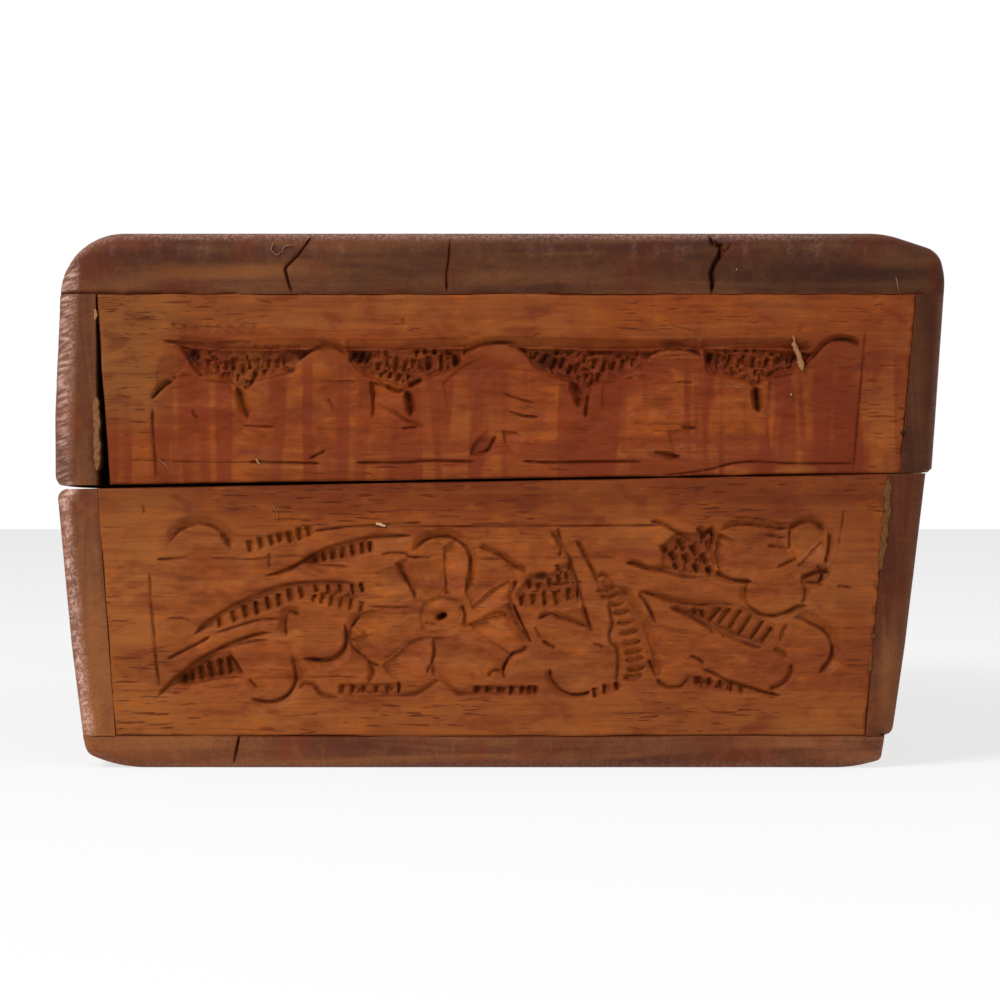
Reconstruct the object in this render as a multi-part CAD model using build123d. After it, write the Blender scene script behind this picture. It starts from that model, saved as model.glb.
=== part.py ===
from build123d import *
import math
import os

# Trinket box of stained hardwood boards, in millimetres
# X runs along the box, +Y is the hinge side, -Y the opening side, +Z is up
# The origin is the middle of the rectangle that the boards cover, on their resting plane

# Overall sizes
box_length = 160.0
box_width = 108.2
box_height = 64.8

# Board thicknesses
top_thickness = 7.5
bottom_thickness = 3.9
end_thickness = 5.0

# Parting between lid and base, a saw line that drops towards the opening side
rim_height = 35.65
rim_tilt = 1.06
lid_rim_tilt = 0.87
rim_gap = 0.10

# Outer faces of the lid, as insets from half the box width
lid_rim_inset = 0.15
lid_belly_inset = 0.0
lid_belly_height = 43.0
lid_front_shoulder_inset = 0.95
lid_front_shoulder_radius = 7.8
lid_back_rim_inset = 1.65
lid_back_slope_inset = 0.7
lid_back_slope_drop = 2.2
lid_back_crown_inset = 7.4
lid_back_crown_radius = 12.0
lid_back_edge_drop = 5.4
lid_back_edge_radius = 2.9

# Outer faces of the base, as insets from half the box width
base_front_rim_inset = 0.35
base_front_waist_inset = 2.15
base_front_foot_inset = 3.5
base_back_rim_inset = 2.45
base_back_waist_inset = 5.0
base_back_foot_inset = 6.55
base_waist_height = 14.5
foot_corner_radius = 1.1

# Ends of the bottom board seen in the end grain
bottom_back_inset = 7.45
bottom_corner_height = 1.7
bottom_corner_inset = 0.5
bottom_front_bevel = 3.9
bottom_back_bevel = 3.6
bottom_back_corner_height = 0.9

# Inner faces of the long boards, as insets from half the box width
lid_front_inner_inset = 5.2
lid_back_inner_top_inset = 3.7
lid_back_inner_rim_inset = 5.7
base_front_inner_rim_inset = 5.4
base_front_inner_foot_inset = 7.6
base_back_inner_rim_inset = 7.1
base_back_inner_foot_inset = 9.9

# Gap that opened where the lid's front board sprang off the end boards
sprung_gap_top = 0.15
sprung_gap_rim = 1.75

# Roundings worn and rasped on the edges
lid_end_rounding = 2.6
base_end_rounding = 1.8
bottom_end_rounding = 1.4
rim_rounding = 1.2
lid_back_rim_chamfer = 0.9
shaved_face_radius = 64.0
shaved_floor_radius = 16.0

# Butt hinges, two alike
hinge_length = 20.0
hinge_spacing = 80.0
hinge_setback = 2.1
leaf_thickness = 0.8
leaf_swage_gap = 0.15
leaf_reach = 4.9
barrel_radius = 1.3
knuckle_count = 5
knuckle_gap = 0.10
pin_radius = 0.6
pin_clearance = 0.03
knuckle_relief = 0.12
mortise_clearance = 0.05

# Countersunk hinge screws
screw_setback = 3.7
screw_pitch = 12.0
screw_radius = 0.55
screw_head_radius = 1.1
screw_head_height = 0.6
screw_length = 4.6
screw_tip_length = 1.0
screw_slot_width = 0.25
screw_slot_depth = 0.3

# Wire brads, punched a little under the surface
nail_radius = 0.45
nail_head_radius = 0.7
nail_head_height = 0.4
nail_tip_length = 0.8
nail_punch_depth = 0.7
nail_end_setback = 14.0
nails_per_side = 4
top_nail_length = 15.0
bottom_nail_length = 8.5
top_front_nail_inset = 3.2
top_back_nail_inset = 2.3
bottom_front_nail_inset = 5.7
bottom_back_nail_inset = 8.75

# Form that screws and brads share
point_radius = 0.05
fastener_sides = 8

# Width of the probe that finds where a rounded board's surface lies
probe_width = 0.02

# Least straight length left between two roundings
least_straight = 0.05

# Values worked out from the sizes above
half_length = box_length / 2
half_width = box_width / 2
lid_joint_height = box_height - top_thickness
far = 2 * max(box_length, box_width, box_height)
hinge_line = half_width - base_back_rim_inset
axis_y = hinge_line + hinge_setback
axis_z = rim_height + rim_gap / 2
hinge_places = [-hinge_spacing / 2, hinge_spacing / 2]


def front(inset):
    """Y of a place on the opening side."""
    return inset - half_width


def back(inset):
    """Y of a place on the hinge side."""
    return half_width - inset


def base_rim_at(y):
    """Height of the base rim at a place across the box."""
    return rim_height - math.tan(math.radians(rim_tilt)) * (hinge_line - y)


def lid_rim_at(y):
    """Height of the lid rim at a place across the box."""
    return rim_height + rim_gap - math.tan(math.radians(lid_rim_tilt)) * (hinge_line - y)


def along(start, end, height):
    """Y at a height on the line through two (y, z) points."""
    share = (height - start[1]) / (end[1] - start[1])
    return start[0] + share * (end[0] - start[0])


def half_turn(before, corner, after):
    """Half the angle, in radians, by which an outline turns at a corner."""
    first = math.atan2(corner[1] - before[1], corner[0] - before[0])
    second = math.atan2(after[1] - corner[1], after[0] - corner[0])
    turn = abs(second - first)
    return min(turn, 2 * math.pi - turn) / 2


def bar(points, length=box_length, x=0.0):
    """Prism with a cross-section of (y, z) points, centred on x."""
    section = Plane.YZ * make_face(Polyline(*points, close=True))
    return Pos(x, 0, 0) * extrude(section, amount=length / 2, both=True)


def rounded_bar(points, radii):
    """Prism as long as the box, each corner of its cross-section rounded."""
    outline = FilletPolyline(*points, radius=radii, close=True)
    return extrude(Plane.YZ * make_face(outline), amount=half_length, both=True)


def end_edges(solid, leave_below, leave_above):
    """Edges round both end faces that lie between two heights."""
    edges = []
    for face in (solid.faces().sort_by(Axis.X)[0], solid.faces().sort_by(Axis.X)[-1]):
        for edge in face.edges():
            height = edge.center().Z
            if leave_below < height < leave_above:
                edges.append(edge)
    return edges


def corner_waste(y, z, radius, y_side, z_side):
    """What a rounding takes off a long corner at (y, z); the sides point into the wood."""
    square = Pos(0, y, z) * Box(far, 2 * radius, 2 * radius)
    round_y = y + y_side * radius
    round_z = z + z_side * radius
    return square - Pos(0, round_y, round_z) * Rot(0, 90, 0) * Cylinder(radius, far)


# Shapes of the lid and base before they are parted into boards

lid_belly = (front(lid_belly_inset), lid_belly_height)
lid_back_edge = (back(0.0), box_height - lid_back_edge_drop)
lid_back_rim = (back(lid_back_rim_inset), rim_height)


def lid_blank():
    """Outer form of the lid, its ends rounded and its rim cut to the saw line."""
    low = rim_height - lid_end_rounding - top_thickness
    points = [
        (front(lid_rim_inset), low),
        lid_belly,
        (front(lid_front_shoulder_inset), box_height),
        (back(lid_back_crown_inset), box_height),
        (back(lid_back_slope_inset), box_height - lid_back_slope_drop),
        lid_back_edge,
        (along(lid_back_rim, lid_back_edge, low), low),
    ]
    radii = [
        0.0,
        shaved_face_radius,
        lid_front_shoulder_radius,
        lid_back_crown_radius,
        lid_back_edge_radius,
        lid_front_shoulder_radius,
        0.0,
    ]
    solid = rounded_bar(points, radii)
    solid = fillet(end_edges(solid, low + lid_end_rounding, far), lid_end_rounding)
    below = [
        (-far, lid_rim_at(-far)),
        (far, lid_rim_at(far)),
        (far, -far),
        (-far, -far),
    ]
    solid = solid - bar(below, far)
    rim_y = front(lid_rim_inset)
    solid = solid - corner_waste(rim_y, lid_rim_at(rim_y), rim_rounding, 1, 1)
    back_y = back(lid_back_rim_inset)
    bevel = [
        (back_y - lid_back_rim_chamfer, lid_rim_at(back_y)),
        (back_y + lid_back_rim_chamfer, lid_rim_at(back_y) + 2 * lid_back_rim_chamfer),
        (back_y + lid_back_rim_chamfer, lid_rim_at(back_y) - lid_back_rim_chamfer),
        (back_y - lid_back_rim_chamfer, lid_rim_at(back_y) - lid_back_rim_chamfer),
    ]
    return solid - bar(bevel, far)


def base_blank():
    """Outer form of the base walls, standing on the bottom board."""
    front_rim = (front(base_front_rim_inset), base_rim_at(front(0.0)))
    front_waist = (front(base_front_waist_inset), base_waist_height)
    back_rim = (back(base_back_rim_inset), rim_height)
    back_waist = (back(base_back_waist_inset), base_waist_height)
    high = rim_height + top_thickness
    points = [
        (front(base_front_foot_inset), bottom_thickness),
        front_waist,
        (along(front_waist, front_rim, high), high),
        (along(back_waist, back_rim, high), high),
        back_waist,
        (back(base_back_foot_inset), bottom_thickness),
    ]
    radii = [0.0, shaved_face_radius, 0.0, 0.0, shaved_face_radius, 0.0]
    solid = rounded_bar(points, radii)
    solid = fillet(end_edges(solid, bottom_thickness + base_end_rounding, high), base_end_rounding)
    above = [
        (-far, base_rim_at(-far)),
        (far, base_rim_at(far)),
        (far, far),
        (-far, far),
    ]
    solid = solid - bar(above, far)
    rim_y = front_rim[0]
    solid = solid - corner_waste(rim_y, base_rim_at(rim_y), rim_rounding, 1, -1)
    foot_y = back(base_back_foot_inset)
    return solid - corner_waste(foot_y, bottom_thickness, foot_corner_radius, -1, 1)


def bottom_blank():
    """Bottom board, its edges rounded under and its back edge short of the wall."""
    front_edge = front(base_front_foot_inset)
    back_edge = back(bottom_back_inset)
    points = [
        (front_edge, bottom_thickness),
        (front_edge + bottom_corner_inset, bottom_corner_height),
        (front_edge + bottom_corner_inset + bottom_front_bevel, 0.0),
        (back_edge - bottom_corner_inset - bottom_back_bevel, 0.0),
        (back_edge - bottom_corner_inset, bottom_back_corner_height),
        (back_edge, bottom_thickness),
    ]
    taken = bottom_corner_height * math.tan(half_turn(*points[0:3]))
    bevel_room = math.dist(points[1], points[2]) - taken - least_straight
    front_floor_radius = min(shaved_floor_radius, bevel_room / math.tan(half_turn(*points[1:4])))
    radii = [
        0.0,
        bottom_corner_height,
        front_floor_radius,
        shaved_floor_radius,
        bottom_back_corner_height,
        0.0,
    ]
    solid = rounded_bar(points, radii)
    lower = end_edges(solid, -bottom_thickness, bottom_thickness - bottom_corner_inset)
    return fillet(lower, bottom_end_rounding)


# Fasteners

def turned(*stations):
    """Small turned piece along Z; each station is its radius at a height, from the point up."""
    sections = [Pos(0, 0, height) * RegularPolygon(radius, fastener_sides) for radius, height in stations]
    return loft(sections, ruled=True)


def screw_body():
    """Countersunk screw at the origin, its head up and its point down."""
    return turned(
        (point_radius, -screw_length - screw_tip_length),
        (screw_radius, -screw_length),
        (screw_radius, -screw_head_height),
        (screw_head_radius, 0),
    )


def at_screw(shape, x, upward):
    """Moves a shape to a screw's place; it runs up into the lid, or down into the base."""
    y = axis_y - screw_setback
    if upward:
        return Pos(x, y, axis_z + leaf_swage_gap / 2) * Rot(180, 0, 0) * shape
    return Pos(x, y, axis_z - leaf_swage_gap / 2) * shape


def screw(x, upward):
    """Hinge screw with its slot."""
    slot = Box(2 * screw_head_radius, screw_slot_width, 2 * screw_slot_depth)
    return at_screw(screw_body() - slot, x, upward)


def screw_room(x, upward):
    """The screw's own room in leaf and board, with a way in for its head."""
    mouth = turned((screw_head_radius, 0), (screw_head_radius, screw_length))
    return at_screw(screw_body() + mouth, x, upward)


def screw_places():
    """X of every screw along the hinge side."""
    return [place + side * screw_pitch / 2 for place in hinge_places for side in (-1, 1)]


def nail_places():
    """X of every brad along one long board."""
    run = box_length - 2 * nail_end_setback
    step = run / (nails_per_side - 1)
    return [-run / 2 + step * count for count in range(nails_per_side)]


def nail(x, y, head_height, length, downward):
    """Wire brad with its head at a height."""
    shank = turned(
        (point_radius, -length - nail_tip_length),
        (nail_radius, -length),
        (nail_radius, -nail_head_height),
    )
    head = turned((nail_head_radius, -nail_head_height), (nail_head_radius, 0))
    turn = 0 if downward else 180
    return Pos(x, y, head_height) * Rot(turn, 0, 0) * (shank + head)


def nail_room(x, y, head_height, length, downward):
    """The brad's room in the boards, open to the punch that drove it."""
    turn = 0 if downward else 180
    mouth = Rot(turn, 0, 0) * turned((nail_head_radius, 0), (nail_head_radius, far))
    return nail(x, y, head_height, length, downward) + Pos(x, y, head_height) * mouth


def surface_heights(solid, y):
    """Lowest and highest point of a solid at a place across the box."""
    bounds = (solid & Pos(0, y, 0) * Box(probe_width, probe_width, far)).bounding_box()
    return bounds.min.Z, bounds.max.Z


# Hinges

pitch = hinge_length / knuckle_count
barrel_bore = pin_radius + pin_clearance


def knuckle(x, bore):
    """One rolled knuckle of a leaf."""
    length = pitch - knuckle_gap
    ring = Cylinder(barrel_radius, length) - Cylinder(bore, length)
    return Pos(x, axis_y, axis_z) * Rot(0, 90, 0) * ring


def leaf(place, upward):
    """Hinge leaf with its knuckles; the base leaf has the outer ones."""
    side = 1 if upward else -1
    plate_z = axis_z + side * (leaf_swage_gap + leaf_thickness) / 2
    tongue_start = barrel_bore + (barrel_radius - barrel_bore) / 3
    plate_width = leaf_reach - tongue_start
    plate_y = axis_y - tongue_start - plate_width / 2
    plate = Pos(place, plate_y, plate_z) * Box(hinge_length, plate_width, leaf_thickness)
    notch_depth = barrel_radius + knuckle_relief
    bore = barrel_bore if upward else pin_radius
    for count in range(knuckle_count):
        x = place - hinge_length / 2 + pitch * (count + 0.5)
        own = (count % 2 == 1) == upward
        if own:
            plate = plate + knuckle(x, bore)
        else:
            notch = Box(pitch + knuckle_gap, 2 * notch_depth, 2 * leaf_thickness)
            plate = plate - Pos(x, axis_y, plate_z) * notch
    for x in screw_places():
        if abs(x - place) < hinge_length / 2:
            plate = plate - screw_room(x, upward)
    return plate


def pin(place):
    """Hinge pin, as long as the barrel."""
    return Pos(place, axis_y, axis_z) * Rot(0, 90, 0) * Cylinder(pin_radius, hinge_length)


def mortise(place, upward):
    """Recess in a rim that a leaf lies in."""
    side = 1 if upward else -1
    depth = leaf_thickness + leaf_swage_gap / 2
    width = leaf_reach + 2 * mortise_clearance
    y = axis_y - leaf_reach - mortise_clearance + width / 2
    z = axis_z + side * (depth - rim_gap) / 2
    length = hinge_length + 2 * mortise_clearance
    return Pos(place, y, z) * Box(length, width, depth + rim_gap)


# The boards

blank = lid_blank()
walls = base_blank()
floor = bottom_blank()

sprung_top = front(lid_front_inner_inset) + sprung_gap_top
sprung_rim = front(lid_front_inner_inset) + sprung_gap_rim
lid_back_top = (back(lid_back_inner_top_inset), lid_joint_height)
lid_back_low = (back(lid_back_inner_rim_inset), rim_height)
base_front_high = (front(base_front_inner_rim_inset), rim_height)
base_front_low = (front(base_front_inner_foot_inset), bottom_thickness)
base_back_high = (back(base_back_inner_rim_inset), rim_height)
base_back_low = (back(base_back_inner_foot_inset), bottom_thickness)

top_room = [(-far, lid_joint_height), (far, lid_joint_height), (far, far), (-far, far)]
lid_front_room = [
    (-far, 0),
    (front(lid_front_inner_inset), 0),
    (front(lid_front_inner_inset), lid_joint_height),
    (-far, lid_joint_height),
]
lid_back_room = [
    (along(lid_back_low, lid_back_top, 0.0), 0.0),
    lid_back_top,
    (far, lid_joint_height),
    (far, 0.0),
]
lid_end_room = [
    (along((sprung_rim, rim_height), (sprung_top, lid_joint_height), 0.0), 0.0),
    (sprung_top, lid_joint_height),
    lid_back_top,
    (along(lid_back_low, lid_back_top, 0.0), 0.0),
]
base_front_room = [
    base_front_low,
    (along(base_front_low, base_front_high, box_height), box_height),
    (-far, box_height),
    (-far, bottom_thickness),
]
base_back_room = [
    base_back_low,
    (along(base_back_low, base_back_high, box_height), box_height),
    (far, box_height),
    (far, bottom_thickness),
]
base_end_room = [
    base_front_low,
    (along(base_front_low, base_front_high, box_height), box_height),
    (along(base_back_low, base_back_high, box_height), box_height),
    base_back_low,
]


def end_board(solid, room, side):
    """End board let in between the long boards, flush with their ends."""
    x = side * (half_length - end_thickness / 2)
    return solid & bar(room, end_thickness, x)


top_nails = []
top_nail_rooms = []
for y in (front(top_front_nail_inset), back(top_back_nail_inset)):
    head_height = surface_heights(blank, y)[1] - nail_punch_depth
    for x in nail_places():
        top_nails.append(nail(x, y, head_height, top_nail_length, True))
        top_nail_rooms.append(nail_room(x, y, head_height, top_nail_length, True))

bottom_nails = []
bottom_nail_rooms = []
for y in (front(bottom_front_nail_inset), back(bottom_back_nail_inset)):
    head_height = surface_heights(floor, y)[0] + nail_punch_depth
    for x in nail_places():
        bottom_nails.append(nail(x, y, head_height, bottom_nail_length, False))
        bottom_nail_rooms.append(nail_room(x, y, head_height, bottom_nail_length, False))

nodes = {}
nodes["lid_top_board"] = blank & bar(top_room, far)
nodes["lid_front_board"] = blank & bar(lid_front_room, far)
nodes["lid_back_board"] = blank & bar(lid_back_room, far)
nodes["lid_left_end"] = end_board(blank, lid_end_room, -1)
nodes["lid_right_end"] = end_board(blank, lid_end_room, 1)
nodes["base_front_board"] = walls & bar(base_front_room, far)
nodes["base_back_board"] = walls & bar(base_back_room, far)
nodes["base_left_end"] = end_board(walls, base_end_room, -1)
nodes["base_right_end"] = end_board(walls, base_end_room, 1)
nodes["bottom_board"] = floor

for room in top_nail_rooms:
    nodes["lid_top_board"] = nodes["lid_top_board"] - room
    nodes["lid_front_board"] = nodes["lid_front_board"] - room
    nodes["lid_back_board"] = nodes["lid_back_board"] - room
for room in bottom_nail_rooms:
    nodes["bottom_board"] = nodes["bottom_board"] - room
    nodes["base_front_board"] = nodes["base_front_board"] - room
    nodes["base_back_board"] = nodes["base_back_board"] - room
for place in hinge_places:
    nodes["lid_back_board"] = nodes["lid_back_board"] - mortise(place, True)
    nodes["base_back_board"] = nodes["base_back_board"] - mortise(place, False)
for x in screw_places():
    nodes["lid_back_board"] = nodes["lid_back_board"] - screw_room(x, True)
    nodes["base_back_board"] = nodes["base_back_board"] - screw_room(x, False)

# The hinges and what fastens them
for name, place in zip(("left", "right"), hinge_places):
    nodes[name + "_hinge_lid_leaf"] = leaf(place, True)
    nodes[name + "_hinge_base_leaf"] = leaf(place, False)
    nodes[name + "_hinge_pin"] = pin(place)
nodes["lid_hinge_screws"] = Compound([screw(x, True) for x in screw_places()])
nodes["base_hinge_screws"] = Compound([screw(x, False) for x in screw_places()])
nodes["top_board_nails"] = Compound(top_nails)
nodes["bottom_board_nails"] = Compound(bottom_nails)

os.makedirs("parts", exist_ok=True)
for name, shape in nodes.items():
    export_step(shape, "parts/" + name + ".step")
print("hinge axis y", round(axis_y, 3), "z", round(axis_z, 3))
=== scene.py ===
import itertools
import math
import bpy
import numpy as np
from bpy.props import FloatProperty, FloatVectorProperty, IntProperty, PointerProperty
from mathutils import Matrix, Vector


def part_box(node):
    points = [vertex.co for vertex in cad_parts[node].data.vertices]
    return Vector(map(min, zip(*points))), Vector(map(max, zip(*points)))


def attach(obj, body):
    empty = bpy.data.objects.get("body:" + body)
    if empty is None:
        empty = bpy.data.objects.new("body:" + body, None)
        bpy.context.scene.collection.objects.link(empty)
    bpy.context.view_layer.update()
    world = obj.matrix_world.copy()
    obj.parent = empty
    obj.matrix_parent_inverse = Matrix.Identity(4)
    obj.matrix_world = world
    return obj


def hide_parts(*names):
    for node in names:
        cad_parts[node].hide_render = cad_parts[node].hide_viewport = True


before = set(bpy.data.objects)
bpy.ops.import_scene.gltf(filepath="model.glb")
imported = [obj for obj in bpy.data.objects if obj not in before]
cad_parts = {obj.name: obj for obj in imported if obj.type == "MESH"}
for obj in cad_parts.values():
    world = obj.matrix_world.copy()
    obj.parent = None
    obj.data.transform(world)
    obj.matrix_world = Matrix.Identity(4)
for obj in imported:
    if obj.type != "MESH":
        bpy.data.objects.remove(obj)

bl_info = {
    "name": "Trinket Box Finish",
    "version": (1, 0, 0),
    "blender": (4, 5, 0),
    "location": "3D View > Sidebar > Trinket Box",
    "description": "Carved, stained and worn boards for a small hinged box",
    "category": "Object",
}

# Lengths below are millimetres, and places across the box are (y, z) pairs
# The opening side is -Y, the hinge side is +Y, and both ends of the box show end grain
MM = 0.001


def low(node, axis):
    """Lowest coordinate of a board."""
    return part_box(node)[0][axis] / MM


def high(node, axis):
    """Highest coordinate of a board."""
    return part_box(node)[1][axis] / MM


half_length = high("lid_top_board", 0)
joint_height = low("lid_top_board", 2)
floor_top = high("bottom_board", 2)
end_thickness = half_length - low("lid_right_end", 0)
axis_y = (low("left_hinge_pin", 1) + high("left_hinge_pin", 1)) / 2
axis_z = (low("left_hinge_pin", 2) + high("left_hinge_pin", 2)) / 2

# Parting line of lid and base, which drops towards the opening side
rim_height = 35.65
rim_line_y = 51.65
rim_gap = 0.10
base_rim_drop = math.tan(math.radians(1.06))
lid_rim_drop = math.tan(math.radians(0.87))

# Roundings of the ends
lid_end_rounding = 2.6
base_end_rounding = 1.8
bottom_end_rounding = 1.4

# Joints between end boards and long boards, as y at the lower edge and y at the upper edge
lid_left_joint = (-47.15, -48.75)
lid_right_joint = (48.4, 50.4)
base_left_joint = (-46.5, -48.7)
base_right_joint = (44.2, 47.0)
lid_front_inner = -48.9

# Brads, along the box and across it
brads_x = (-66.0, -22.0, 22.0, 66.0)
top_brads_y = (-50.9, 51.8)
bottom_brads_y = (-48.4, 45.35)

# Steps of a rounded corner, and of a curve between two of its points
corner_steps = 14
curve_steps = 6

# Nets run from -1 to 1, and a place past this lies on a side of the net
net_side = 0.9999

# Edges sharper than this stay sharp
arris_angle = math.radians(50)

# Only the joined inner faces have more corners than this
most_corners = 60

# Fineness of the far end boards' nets, as a share of that of the photographed ones
far_end_share = 0.66

# Play round a hinge leaf in its mortise, and the longest edge that counts as a sliver
mortise_gap = 0.06
sliver = 0.01

# Growth rings in the outer walls' end grain stand upright: waves a millimetre, across and up
upright_rings = (0.34, 0.03)


def srgb(red, green, blue):
    """Linear colour of an sRGB colour given from 0 to 255."""
    return tuple(math.pow((c / 255 + 0.055) / 1.055, 2.4) for c in (red, green, blue))


def colour(name, description, value):
    """Colour property with its sRGB default."""
    return FloatVectorProperty(
        name=name, description=description, subtype="COLOR", size=3, min=0, max=1, default=srgb(*value)
    )


def cell_count(name, description, value):
    """Whole number of a net's cells."""
    return IntProperty(name=name, description=description, default=value, min=20, max=1000)


# Outlines across the box

class Outline:
    """A line of (y, z) points, with places on it given by the length run along it."""

    def __init__(self, points):
        self.points = np.array(points, float)
        steps = np.linalg.norm(np.diff(self.points, axis=0), axis=1)
        self.run = np.concatenate([[0.0], np.cumsum(steps)])
        self.length = self.run[-1]

    def at(self, run):
        y = np.interp(run, self.run, self.points[:, 0])
        z = np.interp(run, self.run, self.points[:, 1])
        return np.stack([y, z], -1)

    def share(self, share):
        return self.at(np.asarray(share) * self.length)

    def crossing(self, height, last=False):
        """Length run to where the line crosses a height."""
        above = self.points[:, 1] > height
        places = np.nonzero(above[1:] != above[:-1])[0]
        k = places[-1] if last else places[0]
        first, second = self.points[k], self.points[k + 1]
        part = (height - first[1]) / (second[1] - first[1])
        return self.run[k] + part * (self.run[k + 1] - self.run[k])

    def piece(self, start, end, steps=60):
        return Outline(self.at(np.linspace(start, end, steps + 1)))

    def distance(self, places):
        """Distance of many places from the line."""
        least = np.full(len(places), np.inf)
        for start, end in zip(self.points[:-1], self.points[1:]):
            run = end - start
            share = np.clip(((places - start) @ run) / max(run @ run, 1e-12), 0, 1)
            gap = places - start - share[:, None] * run
            least = np.minimum(least, np.hypot(gap[:, 0], gap[:, 1]))
        return least


def rounded(points, radii):
    """Outline through points, with a radius for each corner between its ends."""
    points = [np.array(p, float) for p in points]
    out = [points[0]]
    for before, corner, after, radius in zip(points, points[1:], points[2:], radii):
        back = (before - corner) / np.linalg.norm(before - corner)
        on = (after - corner) / np.linalg.norm(after - corner)
        half = math.acos(max(-1.0, min(1.0, float(back @ on)))) / 2
        middle = corner + (back + on) / np.linalg.norm(back + on) * radius / math.sin(half)
        start = corner + back * radius / math.tan(half) - middle
        turn = math.pi - 2 * half
        side = 1 if on[0] * back[1] - on[1] * back[0] > 0 else -1
        for k in range(corner_steps + 1):
            angle = side * turn * k / corner_steps
            cos, sin = math.cos(angle), math.sin(angle)
            out.append(middle + np.array([start[0] * cos - start[1] * sin,
                                          start[0] * sin + start[1] * cos]))
    out.append(points[-1])
    return Outline(out)


lid_outline = rounded(
    [(-53.93, 25.0), (-54.1, 43.0), (-53.15, 64.8), (46.7, 64.8), (53.4, 62.6), (54.1, 59.4),
     (51.71, 25.0)],
    [64.0, 7.8, 12.0, 2.9, 7.8],
)
base_outline = rounded(
    [(-54.34, 40.0), (-51.95, 14.5), (-50.6, 3.9), (47.55, 3.9), (49.1, 14.5), (52.17, 40.0)],
    [64.0, 0.01, 1.1, 64.0],
)
bottom_outline = rounded(
    [(-50.6, 3.9), (-50.1, 1.7), (-46.2, 0.0), (42.55, 0.0), (46.15, 0.9), (46.65, 3.9)],
    [1.7, 16.0, 16.0, 0.9],
)


def base_rim(y):
    return rim_height - base_rim_drop * (rim_line_y - y)


def lid_rim(y):
    return rim_height + rim_gap - lid_rim_drop * (rim_line_y - y)


def straight(start, end):
    return Outline([start, end])


def outer_y(outline, height, last):
    """Y of an outline's outer face at a height."""
    return outline.at(outline.crossing(height, last))[0]


# Board nets

def net_of(obj):
    """Vertex places of a mesh."""
    flat = np.empty(len(obj.data.vertices) * 3)
    obj.data.vertices.foreach_get("co", flat)
    return flat.reshape(-1, 3)


def place_net(obj, places):
    obj.data.vertices.foreach_set("co", np.ascontiguousarray(places, float).ravel())
    obj.data.update()


def pick_faces(obj, axis, side):
    """Selects the faces of a net that lie on one side of it, and opens edit mode."""
    mesh = obj.data
    centres = np.empty(len(mesh.polygons) * 3)
    mesh.polygons.foreach_get("center", centres)
    chosen = np.abs(centres.reshape(-1, 3)[:, axis] - side) < 1e-4
    mesh.vertices.foreach_set("select", np.zeros(len(mesh.vertices), bool))
    mesh.edges.foreach_set("select", np.zeros(len(mesh.edges), bool))
    mesh.polygons.foreach_set("select", chosen)
    bpy.context.tool_settings.mesh_select_mode = (False, False, True)
    bpy.ops.object.mode_set(mode="EDIT")


def board_net(name, cells, end_cuts, flats):
    """Closed net from -1 to 1 each way, cut finer on its ends and joined up on its flat faces."""
    bpy.ops.object.select_all(action="DESELECT")
    sheets = []
    for axis in range(3):
        across, up = [k for k in range(3) if k != axis]
        for side in (-1, 1):
            bpy.ops.mesh.primitive_grid_add(x_subdivisions=cells[across], y_subdivisions=cells[up],
                                            size=2)
            sheet = bpy.context.object
            flat = net_of(sheet)
            placed = np.empty_like(flat)
            placed[:, across] = flat[:, 0]
            placed[:, up] = flat[:, 1]
            placed[:, axis] = side
            place_net(sheet, placed)
            sheets.append(sheet)
    for sheet in sheets:
        sheet.select_set(True)
    board = sheets[0]
    bpy.context.view_layer.objects.active = board
    bpy.ops.object.join()
    board.name = name
    bpy.ops.object.mode_set(mode="EDIT")
    bpy.ops.mesh.select_all(action="SELECT")
    bpy.ops.mesh.remove_doubles(threshold=1e-4)
    bpy.ops.mesh.normals_make_consistent(inside=False)
    bpy.ops.object.mode_set(mode="OBJECT")
    if end_cuts:
        for side in (-1, 1):
            pick_faces(board, 0, side)
            bpy.ops.mesh.subdivide(number_cuts=end_cuts)
            bpy.ops.object.mode_set(mode="OBJECT")
    for axis, side in flats:
        pick_faces(board, axis, side)
        bpy.ops.mesh.dissolve_faces()
        bpy.ops.object.mode_set(mode="OBJECT")
    return board


def smooth_and_paint(board, finish):
    """Turns a mesh's faces outwards, smooths all but its arrises and paints it."""
    bpy.ops.object.select_all(action="DESELECT")
    board.select_set(True)
    bpy.context.view_layer.objects.active = board
    bpy.ops.object.mode_set(mode="EDIT")
    bpy.ops.mesh.select_all(action="SELECT")
    bpy.ops.mesh.normals_make_consistent(inside=False)
    bpy.ops.object.mode_set(mode="OBJECT")
    bpy.ops.object.shade_smooth_by_angle(angle=arris_angle)
    board.data.materials.clear()
    board.data.materials.append(finish)


def finish_net(board, body, node, finish):
    """Smooths and paints a finished board and hangs it on its body, in place of its CAD node."""
    smooth_and_paint(board, finish)
    # The joined inner faces are flat, and their wood was never stained
    board.data.materials.append(plain_wood())
    for face in board.data.polygons:
        if len(face.vertices) > most_corners:
            face.material_index = 1
            face.use_smooth = False
    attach(board, body)
    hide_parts(node)


def mark(board, **layers):
    """Stores a number at each vertex for the finish to read."""
    for name, values in layers.items():
        layer = board.data.attributes.new(name, "FLOAT", "POINT")
        layer.data.foreach_set("value", np.ascontiguousarray(values, np.float32))


def ease(values, start, end):
    """Smooth step from 0 at start to 1 at end."""
    t = np.clip((np.asarray(values) - start) / (end - start), 0, 1)
    return t * t * (3 - 2 * t)


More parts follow.
